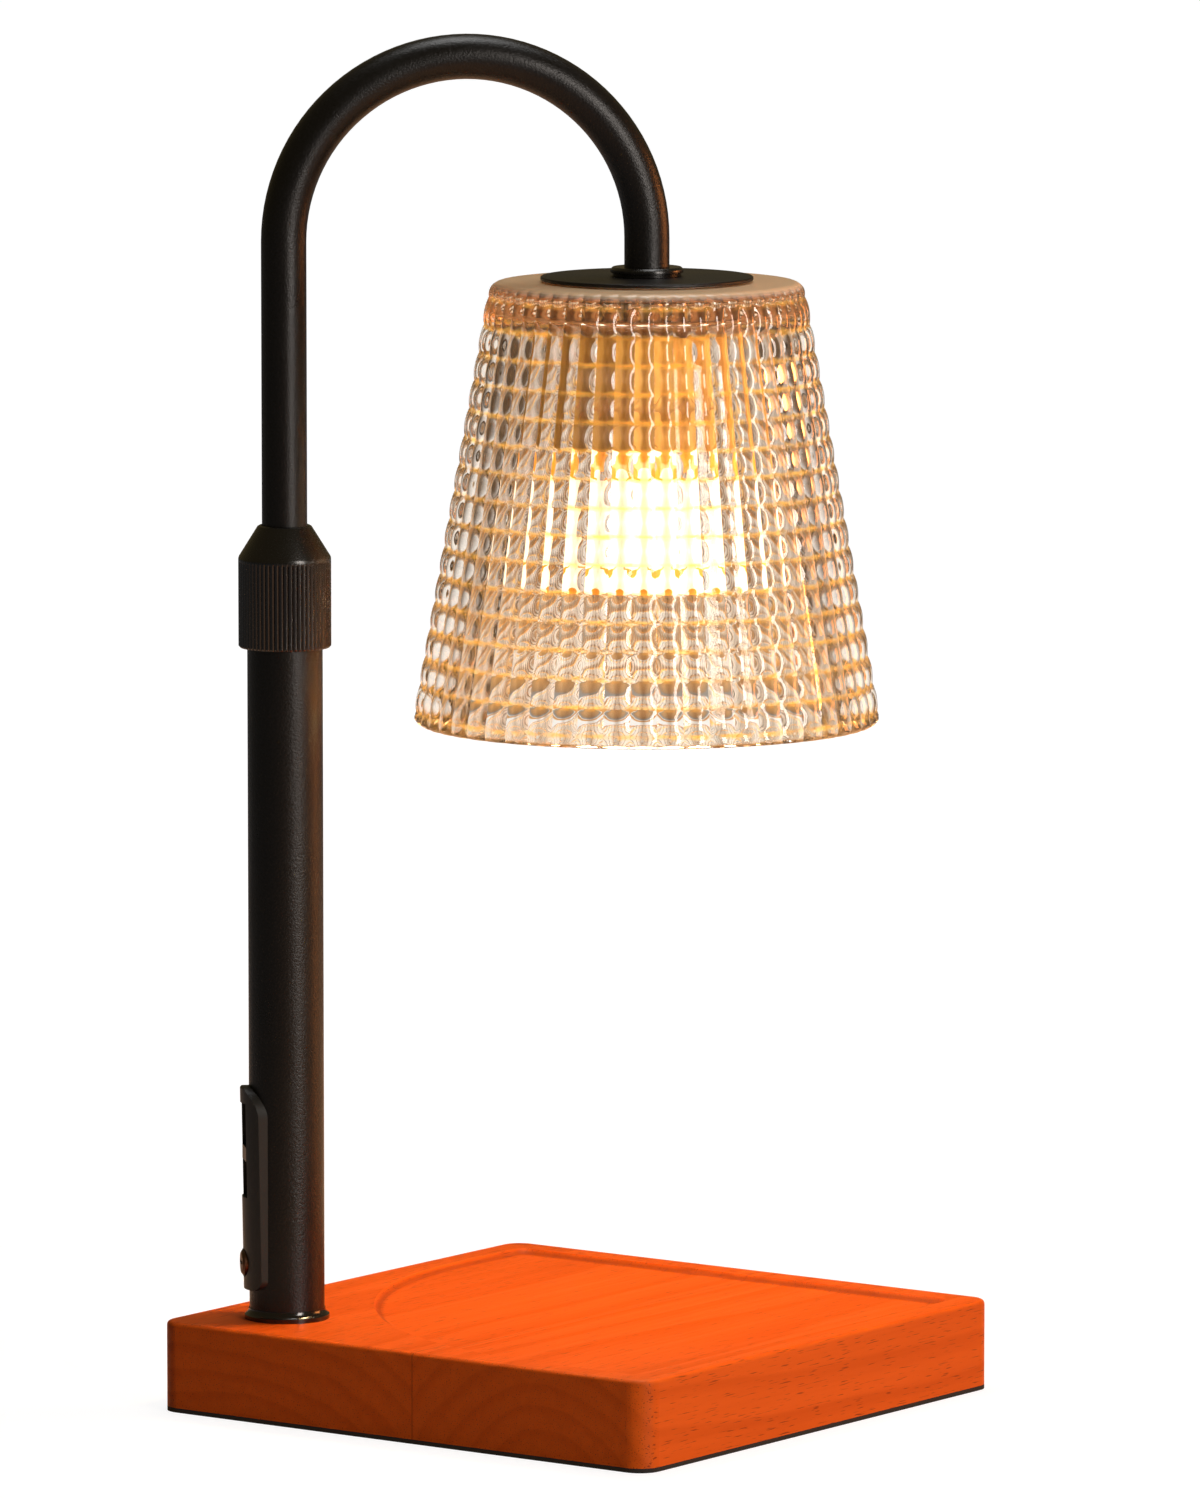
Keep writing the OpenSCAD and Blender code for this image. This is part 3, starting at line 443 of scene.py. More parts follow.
# Metal as it left the lathe, the spinning chuck or the press, with tool lines round the axis or
# along the strip. Real lines are some hundredths of a millimetre and are drawn coarser.
@dataclass(frozen=True)
class WorkedMetal(Finish):
    """Turned, spun or rolled metal with its tool lines."""

    colour: str = "#b9babc"
    dark: str = "#8f9092"
    rough: float = 0.3
    rough_span: Span = (-0.1, 0.12)
    metallic: float = 1.0
    line_mm: float = 0.35
    lines: Point = (0.02, 0.02, 1.0)
    cloud_mm: float = 9.0
    relief_mm: float = 0.02
    bump: float = 0.4

    def paint(self, work: Work) -> None:
        """Paint metal with long thin tool lines in its gloss and height.

        Args:
            work: The material.
        """
        tool = work.mottle(self.line_mm, scale=self.lines)
        work.colour(self.colour, (work.mottle(self.cloud_mm), self.dark))
        connect(work.shader, {"Metallic": self.metallic})
        work.shine(tool, *(self.rough + change for change in self.rough_span))
        work.relief(tool, self.relief_mm, self.bump)


# Moulded, dipped, fired or foamed parts: one colour with a fine skin, whose texture comes from
# the mould, the glaze or the foam's cells.
@dataclass(frozen=True)
class MouldedSkin(Finish):
    """Plastic, silicone, ceramic or foam with its own skin."""

    colour: str = "#202020"
    other: str = "#2a2929"
    rough: float = 0.4
    rough_span: Span = (-0.06, 0.1)
    cell_mm: float = 0.6
    cloud_mm: float = 12.0
    relief_mm: float = 0.03
    bump: float = 0.5
    coat: float = 0.0
    coat_rough: float = 0.08
    soft: float = 0.0
    soft_mm: float = 2.0

    def paint(self, work: Work) -> None:
        """Paint the colour, its clouding and the skin's texture.

        Args:
            work: The material.
        """
        cells = work.mottle(self.cell_mm)
        work.colour(self.colour, (work.mottle(self.cloud_mm, 1.0), self.other))
        connect(work.shader, {"Coat Weight": self.coat, "Coat Roughness": self.coat_rough,
                              "Subsurface Weight": self.soft, "Subsurface Scale": self.soft_mm * MM})
        work.shine(cells, *(self.rough + change for change in self.rough_span))
        work.relief(cells, self.relief_mm, self.bump)


# Lit lamp glass: the bulb's frosted front, its mirrored bowl and the lamp inside it, which glow
# with the warm white of a halogen lamp.
@dataclass(frozen=True)
class LitGlass(Finish):
    """Bulb glass that gives its own warm light."""

    colour: str = "#fff3dc"
    glow: str = "#ffd9a0"
    power: float = 3.0
    rough: float = 0.35
    stipple_mm: float = 1.6
    relief_mm: float = 0.2
    bump: float = 0.4

    def paint(self, work: Work) -> None:
        """Paint frosted glass with the pressed stipple of a reflector bulb, and light it.

        Args:
            work: The material.
        """
        dots = add(work.tree, "ShaderNodeTexVoronoi", {"Vector": work.place(),
                                                       "Scale": 1 / (self.stipple_mm * MM)})
        work.colour(self.colour, (dots, self.glow))
        connect(work.shader, {"Roughness": self.rough, "Emission Color": srgb(self.glow),
                              "Emission Strength": self.power})
        work.relief(dots, self.relief_mm, self.bump)


class Look(Enum):
    """The finishes by part: name, colour, second colour, roughness or power, then the rest."""

    TUBE = PowderCoat("powder_coated_steel_tube")
    NUT = PowderCoat("powder_coated_turned_nut", grit_mm=0.5, relief_mm=0.03, rough=0.24, specular=0.6)
    DISC = PowderCoat("powder_coated_disc", grit_mm=0.45, rough=0.38)
    FOOT = PowderCoat("enamelled_foot_ring", colour="#0f0d0c", grit_mm=0.9, relief_mm=0.02,
                      rough=0.16, specular=0.6)
    WOOD = StainedWood("stained_lacquered_board")
    GLASS = PressedGlass("pressed_tinted_glass")
    # The cup's deep warm gold is partly painted light, for the bulb's glow on it inside the shade
    CUP = WorkedMetal("gold_lacquered_spun_cup", "#e2c46c", "#d4ac4c", 0.5, metallic=0.3)
    BRASS = WorkedMetal("milled_brass", "#d3a957", "#a98442", 0.28)
    ZINC = WorkedMetal("zinc_plated_steel", "#c3c7ca", "#9ea2a4", 0.34)
    STEEL = WorkedMetal("turned_steel", "#b4b6b8", "#87898c", 0.26)
    SPRING = WorkedMetal("oiled_spring_steel", "#6d6c6a", "#47474a", 0.3)
    SCREW = WorkedMetal("blackened_steel_screw", "#6b4a36", "#2c2320", 0.36)
    PIN = WorkedMetal("nickel_plated_pins", "#c9c5bd", "#a29d94", 0.24)
    COVER = MouldedSkin("moulded_black_abs", "#141313", "#1b1918", 0.36, cell_mm=0.5)
    COLLET = MouldedSkin("moulded_white_nylon", "#dcd8cc", "#cfcabc", soft=0.2)
    BUSH = MouldedSkin("turned_nylon_bush", "#e9e7e0", "#dad7ce", soft=0.2)
    SILICONE = MouldedSkin("moulded_clear_silicone", "#dedad2", "#cfcac1", 0.5, soft=0.15)
    CERAMIC = MouldedSkin("glazed_steatite", "#efe9dc", "#e3dac8", 0.3,
                          coat=0.5, relief_mm=0.05, cell_mm=1.5)
    SLEEVE = MouldedSkin("braided_glass_fibre_sleeve", "#f0ece0", "#ddd6c6",
                         0.7, cell_mm=0.35, relief_mm=0.12)
    FOAM = MouldedSkin("closed_cell_foam", "#161616", "#1f1f1f", 0.85, cell_mm=0.5, relief_mm=0.15)
    BOWL = LitGlass("mirrored_bulb_glass", "#f6e4c4", "#fff0d8", 1.7)
    FRONT = LitGlass("frosted_front_glass", power=80.0)
    # Painted glow for the bulb's rim band and neck collar, which give no light of their own
    BAND = LitGlass("amber_lit_glass_band", "#e8a040", "#ffa028", 1.1)
    LAMP = LitGlass("lit_lamp_capsule", glow="#ffe2b4", power=30.0, stipple_mm=3.0)

    def on(self, nodes: Sequence[str]) -> None:
        """Put this finish on CAD nodes.

        Args:
            nodes: The nodes' names.
        """
        for name in nodes:
            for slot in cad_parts[name].material_slots:
                slot.material = self.value.material()
            LOG.info("%s is finished in %s", name, self.value.name)


# ------------------------------ turned pieces


class RibbedTurning:
    """Geometry Nodes that turn a profile about an upright axis, with ribs round it.

    The profile is a line of points in the XZ plane, each with a "valley" that says how deep the
    grooves between the ribs are at that height.
    """

    tree: ClassVar[Optional[NodeTree]] = None
    inputs: ClassVar[dict[str, tuple[str, Any]]] = {
        "Geometry": ("Geometry", None), "Ribs": ("Int", 1), "Steps": ("Int", 96),
        "Roundness": ("Float", 0.4), "Axis": ("Vector", (0.0, 0.0, 0.0)), "Crease": ("Float", 0.5),
        "Finish": ("Material", None)}
    # Points closer than this are one, in millimetres
    weld: ClassVar[float] = 0.002

    @classmethod
    def nodes(cls) -> NodeTree:
        """Build the tree once.

        Returns:
            The tree.
        """
        if cls.tree is not None:
            return cls.tree
        tree = bpy.data.node_groups.new("ribbed_turning", "GeometryNodeTree")
        for name, (kind, default) in cls.inputs.items():
            socket = tree.interface.new_socket(name, in_out="INPUT", socket_type="NodeSocket" + kind)
            if default is not None:
                socket.default_value = default
        tree.interface.new_socket("Geometry", in_out="OUTPUT", socket_type="NodeSocketGeometry")
        given = add(tree, "NodeGroupInput").outputs
        # A flat sheet a metre wide and high, one row of points for each point of the profile
        count = add(tree, "GeometryNodeAttributeDomainSize", [given["Geometry"]]).outputs["Point Count"]
        wide = add(tree, "MULTIPLY_ADD", [given["Ribs"], given["Steps"], 1.0])
        sheet = add(tree, "GeometryNodeMeshGrid", [1.0, 1.0, wide, count])
        here = add(tree, "GeometryNodeInputPosition")
        x, y, _ = add(tree, AXES, [here]).outputs
        round_share, up_share = (add(tree, "ADD", [axis, 0.5]) for axis in (x, y))
        last = add(tree, "SUBTRACT", [count, 1.0])
        row = add(tree, "ROUND", [add(tree, "MULTIPLY", [up_share, last])])
        named = add(tree, "GeometryNodeInputNamedAttribute", {"Name": "valley"}, data_type="FLOAT")
        place, valley = (
            add(tree, "GeometryNodeSampleIndex", {"Geometry": given["Geometry"], "Value": value,
                                                  "Index": row}, data_type=kind, domain="POINT")
            for value, kind in ((here, "FLOAT_VECTOR"), (named, "FLOAT")))
        # How far along a rib's width, from -1 to 1
        ribs = add(tree, "MULTIPLY_ADD", [round_share, given["Ribs"], 0.5])
        part = add(tree, "MULTIPLY_ADD", [add(tree, "FRACT", [ribs]), 2.0, -1.0])
        # The groove that leaves a round rib: its arc's fall there, over its fall at the rib's edge
        square = add(tree, "MULTIPLY", [part, part])
        square = add(tree, "MULTIPLY", [square, given["Roundness"]])
        falls = []
        for share in (square, given["Roundness"]):
            arc = add(tree, "SQRT", [add(tree, "SUBTRACT", [1.0, share])])
            falls.append(add(tree, "SUBTRACT", [1.0, arc]))
        groove = add(tree, "DIVIDE", falls)
        cut = add(tree, "MULTIPLY", [groove, valley])
        out, _, height = add(tree, AXES, [place]).outputs
        radius = add(tree, "SUBTRACT", [out, cut])
        angle = add(tree, "MULTIPLY", [round_share, math.tau])
        around = [add(tree, "MULTIPLY", [add(tree, way, [angle]), radius]) for way in ("COSINE", "SINE")]
        turned = add(tree, "ShaderNodeCombineXYZ", [*around, height])
        moved = add(tree, VECTOR_MATH, [turned, given["Axis"]], operation="ADD")
        shaped = add(tree, "GeometryNodeSetPosition", {"Geometry": sheet, "Position": moved})
        closed = add(tree, "GeometryNodeMergeByDistance", {"Geometry": shaped, "Distance": cls.weld * MM})
        # Smooth, with a sharp edge wherever two faces meet at more than the crease angle
        smooth = add(tree, "GeometryNodeSetShadeSmooth", {"Geometry": closed,
                                                          "Shade Smooth": True}, domain="FACE")
        bend = add(tree, "GeometryNodeInputMeshEdgeAngle")
        sharp = add(tree, "FunctionNodeCompare", [bend, given["Crease"]], data_type="FLOAT",
                    operation="GREATER_THAN")
        creased = add(tree, "GeometryNodeSetShadeSmooth", {
            "Geometry": smooth, "Selection": sharp, "Shade Smooth": False}, domain="EDGE")
        real = add(tree, "GeometryNodeRealizeInstances", [creased])
        done = add(tree, "GeometryNodeSetMaterial", {"Geometry": real, "Material": given["Finish"]})
        add(tree, "NodeGroupOutput", [done])
        cls.tree = tree
        return tree

    @classmethod
    def make(cls, name: str, rings: Sequence[Point], look: Look, axis_x: float, **sizes: Any) -> Object:
        """Turn a closed profile into a mesh object at the origin.

        Args:
            name: The piece's name.
            rings: The profile as radius, height and valley in millimetres, upwards outside.
            look: The piece's finish.
            axis_x: Where the upright axis stands, in millimetres.
            **sizes: Values for the tree's other inputs.

        Returns:
            The finished object.
        """
        line = bpy.data.meshes.new(name + "_profile")
        closed = [*rings, rings[0]]
        line.from_pydata([(r * MM, 0, z * MM) for r, z, _ in closed],
                         [(i, i + 1) for i in range(len(rings))], [])
        depth = line.attributes.new("valley", "FLOAT", "POINT")
        depth.data.foreach_set("value", [v * MM for _, _, v in closed])
        source = link_object(line.name, line)
        turning = source.modifiers.new("ribbed_turning", "NODES")
        turning.node_group = cls.nodes()
        values = {"Axis": (axis_x * MM, 0.0, 0.0), "Finish": look.value.material(), **sizes}
        for item in turning.node_group.interface.items_tree:
            if item.in_out == "INPUT" and item.name in values:
                turning[item.identifier] = values[item.name]
        bpy.context.view_layer.update()
        graph = bpy.context.evaluated_depsgraph_get()
        mesh = bpy.data.meshes.new_from_object(source.evaluated_get(graph))
        bpy.data.objects.remove(source)
        bpy.data.meshes.remove(line)
        mesh.name = name
        LOG.info("%s has %d faces", name, len(mesh.polygons))
        return link_object(name, mesh)


def stand_for(piece: Object, body: str, slot: str, *nodes: str) -> None:
    """Let a finished piece ride on its body, in place of its CAD nodes if it has any.

    Args:
        piece: The piece.
        body: The body it rides on.
        slot: The name of a material slot; it is not used.
        *nodes: The CAD nodes that it replaces.
    """
    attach(piece, body)
    if nodes:
        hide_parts(*nodes)


def rounded(corners: Sequence[Point], steps: int = 4) -> list[Point]:
    """Round the corners of a closed profile.

    Args:
        corners: Radius, height and rounding radius of each corner, in millimetres.
        steps: Flats in each rounded corner.

    Returns:
        The profile's points, with no valleys.
    """
    points: list[Point] = []
    for i, (r, z, size) in enumerate(corners):
        if size <= 0:
            points.append((r, z, 0.0))
            continue
        here = Vector((r, z))
        before, after = (Vector(corner[:2]) - here
                         for corner in (corners[i - 1], corners[(i + 1) % len(corners)]))
        half = before.angle(after) / 2
        before.normalize()
        after.normalize()
        start, end = (here + way * (size / math.tan(half)) for way in (before, after))
        middle = here + (before + after).normalized() * (size / math.sin(half))
        for k in range(steps + 1):
            spot = middle + (start.lerp(end, k / steps) - middle).normalized() * size
            points.append((spot.x, spot.y, 0.0))
    return points


# ------------------------------ sub-assemblies


@dataclass
class SubAssembly:
    """What every sub-assembly shares."""

    # The finish of each CAD node that keeps its own shape
    finishes: ClassVar[dict[Look, Sequence[str]]] = {}

    def build(self) -> None:
        """Make the pieces that replace CAD nodes, where there are any."""

    def dress(self) -> None:
        """Put each finish on its CAD nodes."""
        for look, nodes in self.finishes.items():
            look.on(nodes)


class Base(SubAssembly):
    """The board, its foam pad and the bolt that holds the post."""

    finishes = {Look.WOOD: ["base_board"], Look.FOAM: ["base_pad"],
                Look.ZINC: ["base_bolt", "base_washer"]}


class Post(SubAssembly):
    """The lower tube with its foot ring, plug and cord cover."""

    finishes = {Look.TUBE: ["post_tube"], Look.FOOT: ["foot_ring"],
                Look.STEEL: ["post_plug", "neck"], Look.COVER: ["cord_cover"],
                Look.SCREW: ["cover_screw"]}


@dataclass
class HeightClamp(SubAssembly):
    """The knurled nut over its split collet."""

    axis_x: float
    foot: float
    top: float
    radius: float = 12.3
    bore: float = 10.08
    bore_top: float = 225.5
    throat: float = 232.4
    throat_r: float = 9.03
    arm_bore: float = 6.3
    cone: float = 8.5
    tip: float = 7.0
    band: float = 1.4
    ridges: int = 60
    ridge_steps: int = 6
    roundness: float = 0.75
    groove: float = 0.42
    chamfer: float = 0.5
    edge: float = 0.35
    edge_drop: float = 0.06
    finishes = {Look.COLLET: ["collet"]}

    def profile(self) -> list[Point]:
        """Give the nut's outline, with grooves along its grip.

        Returns:
            Radius, height and groove depth of each ring.
        """
        cone_z = self.top - self.cone
        grip_top = cone_z - self.band
        slope = Vector((self.tip - self.radius, self.cone)).normalized() * self.edge
        ridged = (self.foot + self.chamfer, grip_top)
        outline = [
            (self.radius - self.chamfer, self.foot), (self.radius, ridged[0]),
            (self.radius, grip_top), (self.radius, grip_top + self.edge),
            (self.radius, cone_z - self.edge), (self.radius - self.edge_drop, cone_z - self.edge * 0.3),
            (self.radius + slope.x, cone_z + slope.y), (self.tip - slope.x, self.top - slope.y),
            (self.tip - self.edge, self.top), (self.arm_bore, self.top),
            (self.arm_bore, self.throat), (self.throat_r, self.bore_top),
            (self.bore, self.bore_top), (self.bore, self.foot)]
        return [(r, z, self.groove if z in ridged else 0.0) for r, z in outline]

    def build(self) -> None:
        """Turn the nut with its ridges."""
        nut = RibbedTurning.make("knurled_clamp_nut", self.profile(), Look.NUT, self.axis_x,
                                 Ribs=self.ridges, Steps=self.ridge_steps, Roundness=self.roundness)
        stand_for(nut, "nut", "nut_black", "clamp_nut")


class Arm(SubAssembly):
    """The swan-neck tube with its bush and retaining ring."""

    finishes = {Look.TUBE: ["arm_tube"], Look.BUSH: ["guide_bush"], Look.SPRING: ["arm_clip"]}


@dataclass
class ShadeFitting(SubAssembly):
    """The stack that clamps the glass to the arm's end."""

    ring_z: float
    disc_z: float
    axis_x: float = GLASS_X
    ring_r: float = 9.7
    step_r: float = 9.1
    ring_h: float = 2.5
    step_h: float = 1.0
    brow_h: float = 0.6
    disc_r: float = 28.25
    disc_h: float = 1.0
    bore: float = 5.0
    play: float = 0.3
    finishes = {Look.SILICONE: ["disc_gasket", "glass_gasket"],
                Look.ZINC: ["clamp_washer", "end_nipple"], Look.BRASS: ["hex_nut"]}

    def build(self) -> None:
        """Turn the ring nut and the disc."""
        top = self.ring_z + self.ring_h
        step = self.ring_z + self.step_h
        disc_top = self.disc_z + self.disc_h
        hole = self.bore + self.play
        ring = rounded([(self.step_r, self.ring_z, 0.15), (self.step_r, step, 0.1),
                        (self.ring_r, step, 0.15), (self.ring_r, top - self.brow_h, 0.3),
                        (self.step_r, top, 0.3), (self.bore, top, 0.0), (self.bore, self.ring_z, 0.0)])
        disc = rounded([(self.disc_r, self.disc_z, 0.25), (self.disc_r, disc_top, 0.4),
                        (hole, disc_top, 0.0), (hole, self.disc_z, 0.0)])
        piece = RibbedTurning.make("turned_end_ring", ring, Look.NUT, self.axis_x)
        stand_for(piece, "arm", "foot_ring_black", "end_ring")
        piece = RibbedTurning.make("pressed_shade_disc", disc, Look.DISC, self.axis_x)
        stand_for(piece, "arm", "black_disc", "shade_disc")


@dataclass
class GlassShade(SubAssembly):
    """The pressed shade: rows of beads on upright ribs over a tapered cone."""

    axis_x: float = GLASS_X
    foot: float = GLASS_LOW.z
    height: float = 117.4
    top_r: float = 41.5
    bottom_r: float = 62.2
    wall: float = 4.2
    plate: float = 8.0
    hole: float = 5.6
    corner: float = 2.5
    shoulder: float = 2.6
    ribs: int = GLASS_RIBS
    pitch: float = GLASS_PITCH
    rim: float = GLASS_RIM
    # How deep the valleys between the ribs are: at a bead's middle, at a notch and at the tips
    valley: float = 1.1
    flank: float = 0.35
    tip_cut: float = 1.0
    notch: float = 0.66
    bead_steps: int = 8
    rib_steps: int = 8
    roundness: float = 0.4

    def mean_r(self, h: float) -> float:
        """Give the mean cone's radius at a height over the rim."""
        return self.bottom_r + (self.top_r - self.bottom_r) * h / self.height

    def bulge(self, share: float) -> float:
        """Give a bead's swell, from 0 at its notches to 1 at its middle."""
        flat = math.sqrt(1 - self.roundness)
        return (math.sqrt(1 - self.roundness * (2 * share - 1) ** 2) - flat) / (1 - flat)

    def cut(self, share: float) -> float:
        """Give the valleys' depth, from a notch's at 0 to a bead's middle's at 1."""
        return self.flank + (self.valley - self.flank) * share

    def outside(self) -> list[Point]:
        """Give the outer wall: rim, beads, plain band and shoulder.

        Returns:
            Height, swell over the mean cone and valley depth of each ring.
        """
        shallow = self.valley * 0.8
        rings = [(0.0, -1.4, self.flank), (0.35, -0.75, self.valley * 0.5), (0.9, -0.25, shallow),
                 (self.rim * 0.55, -0.05, shallow)]
        rows = math.floor((self.height - self.rim - self.shoulder) / self.pitch)
        for k in range(rows * self.bead_steps + 1):
            # The grooves are shallow at the notches, so that each bead is a pillow of its own
            bulge = self.bulge((k % self.bead_steps) / self.bead_steps)
            rings.append((self.rim + k * self.pitch / self.bead_steps,
                          self.notch * (bulge - 0.5), self.cut(bulge)))
        last = rings[-1][0]
        end = self.height - self.shoulder
        for share in (k / 5 for k in range(1, 6)):
            rings.append((last + (end - last) * share, -0.33 + 0.3 * math.sin(share * math.pi / 2),
                          self.cut(math.sin(share * math.pi))))
        for share in (k / 6 for k in range(1, 7)):
            # The ribs run out in points over the shoulder
            turn = share * math.pi / 2
            rings.append((end + self.shoulder * math.sin(turn),
                          -0.03 - self.shoulder * (1 - math.cos(turn)), self.tip_cut * (1 - share)))
        return rings

    def profile(self) -> list[Point]:
        """Give the shade's whole outline, up outside and down inside.

        Returns:
            Radius, height and valley depth of each ring.
        """
        ceiling = self.height - self.plate
        bend = ceiling - self.corner
        edge = self.mean_r(ceiling) - self.wall
        rings = [(self.mean_r(h) + swell, h, cut) for h, swell, cut in self.outside()]
        rings += [(self.hole, self.height, 0.0), (self.hole, ceiling, 0.0)]
        rings += [(edge - self.corner * share, ceiling, 0.0) for share in (4, 1.6)]
        for turn in (k / 5 * math.pi / 2 for k in range(1, 5)):
            rings.append((edge - self.corner * (1 - math.sin(turn)),
                          bend + self.corner * math.cos(turn), 0.0))
        rings += [(self.mean_r(h) - self.wall, h, 0.0)
                  for h in (bend - (bend - 1.2) * k / 10 for k in range(11))]
        rings += [(self.mean_r(0) - self.wall + 0.4, 0.35, 0.0),
                  (self.mean_r(0) - self.wall + 1.2, 0.0, 0.0)]
        return [(r, self.foot + h, cut) for r, h, cut in rings]

    def build(self) -> None:
        """Turn the shade with its ribs."""
        shade = RibbedTurning.make("beaded_glass_shade", self.profile(), Look.GLASS, self.axis_x,
                                   Ribs=self.ribs, Steps=self.rib_steps, Roundness=self.roundness)
        stand_for(shade, "arm", "shade_glass", "glass_shade")


class Lampholder(SubAssembly):
    """The ceramic holder in its spun cup and steel bracket."""

    finishes = {Look.CUP: ["holder_cup"], Look.ZINC: ["holder_bracket", "holder_screws"],
                Look.CERAMIC: ["holder_cap", "holder_body"], Look.BRASS: ["holder_contacts"],
                Look.SLEEVE: ["holder_leads"]}


@dataclass
class Bulb(SubAssembly):
    """The lit reflector bulb: a flared mirror bowl with a rolled rim and a collar at its neck."""

    face: float
    axis_x: float = GLASS_X
    length: float = 47.0
    rim_r: float = 25.0
    rim_h: float = 4.5
    neck_r: float = 12.0
    neck_h: float = 14.5
    flare: float = 0.62
    step: float = 0.6
    edge: float = 0.3
    seat_r: float = 24.0
    lens_h: float = 2.5
    # How far the bowl's inside starts above the lens, and ends above the foot of the neck
    bowl_lift: float = 2.0
    bowl_rise: float = 3.0
    bowl_r: float = 22.8
    bowl_neck_r: float = 5.8
    facets: int = 28
    facet_cut: float = 0.45
    facet_steps: int = 6
    steps: int = 14
    # Drop of its foot, width and height of each band
    rim_band: Point = (0.9, 0.9, 1.8)
    collar: Point = (2.6, 4.2, 2.4)
    collar_r: float = 16.6
    finishes = {Look.FRONT: ["bulb_lens"], Look.LAMP: ["bulb_capsule"], Look.PIN: ["bulb_pins"]}

    def bowl(self) -> list[Point]:
        """Give the bowl's outline, up outside and down inside.

        Returns:
            Radius, height and facet depth of each ring.
        """
        flare_h = self.length - self.neck_h - self.rim_h
        shares = [i / self.steps for i in range(self.steps + 1)]
        spread = self.rim_r - self.step - self.neck_r
        ledge = self.rim_h - self.step
        rings = [(self.seat_r, 0.0, 0.0), (self.rim_r - self.edge, 0.0, 0.0),
                 (self.rim_r, self.edge, 0.0), (self.rim_r, ledge - self.edge, 0.0),
                 (self.rim_r - self.edge, ledge, 0.0)]
        rings += [(self.neck_r + spread * (1 - share) ** self.flare,
                   self.rim_h + flare_h * share, self.facet_cut * math.sin(math.pi * share))
                  for share in shares]
        rings += [(self.neck_r, self.length, 0.0)]
        inner_h = flare_h + self.bowl_rise
        top = self.lens_h + self.bowl_lift + inner_h
        rings += [(self.bowl_neck_r + (self.bowl_r - self.bowl_neck_r) * share ** self.flare,
                   top - inner_h * share, 0.0) for share in shares]
        rings += [(self.bowl_r, self.lens_h, 0.0), (self.seat_r, self.lens_h, 0.0)]
        return [(r, self.face + z, cut) for r, z, cut in rings]

    def build(self) -> None:
        """Turn the bowl with its rim and collar."""
        piece = RibbedTurning.make("faceted_bulb_bowl", self.bowl(), Look.BOWL, self.axis_x,
                                   Ribs=self.facets, Steps=self.facet_steps, Roundness=0.5)
        stand_for(piece, "bulb", "bulb_reflector_glass", "bulb_reflector")
        neck_z = self.length - self.neck_h
        # Painted glow: the rolled rim band and the crimped neck collar glow amber, for the bulb's light
        # seen round its rim and neck
        for name, r, z, (drop, wide, high) in (
                ("rolled_rim_band", self.rim_r, self.rim_h, self.rim_band),
                ("crimped_neck_collar", self.collar_r, neck_z, self.collar)):
            low = self.face + z - drop
            band = rounded([(r, low, 0.4), (r, low + high, 0.4), (r - wide, low + high, 0.0),
                            (r - wide, low, 0.0)])
            piece = RibbedTurning.make(name, band, Look.BAND, self.axis_x)
            stand_for(piece, "bulb", "bulb_reflector_glass")


# ------------------------------ studio


class Softbox(NamedTuple):
    """A soft lamp: its place, its width and height, its watts and its colour."""

    name: str
    place: Point
    size: Span
    power: float
    colour: str


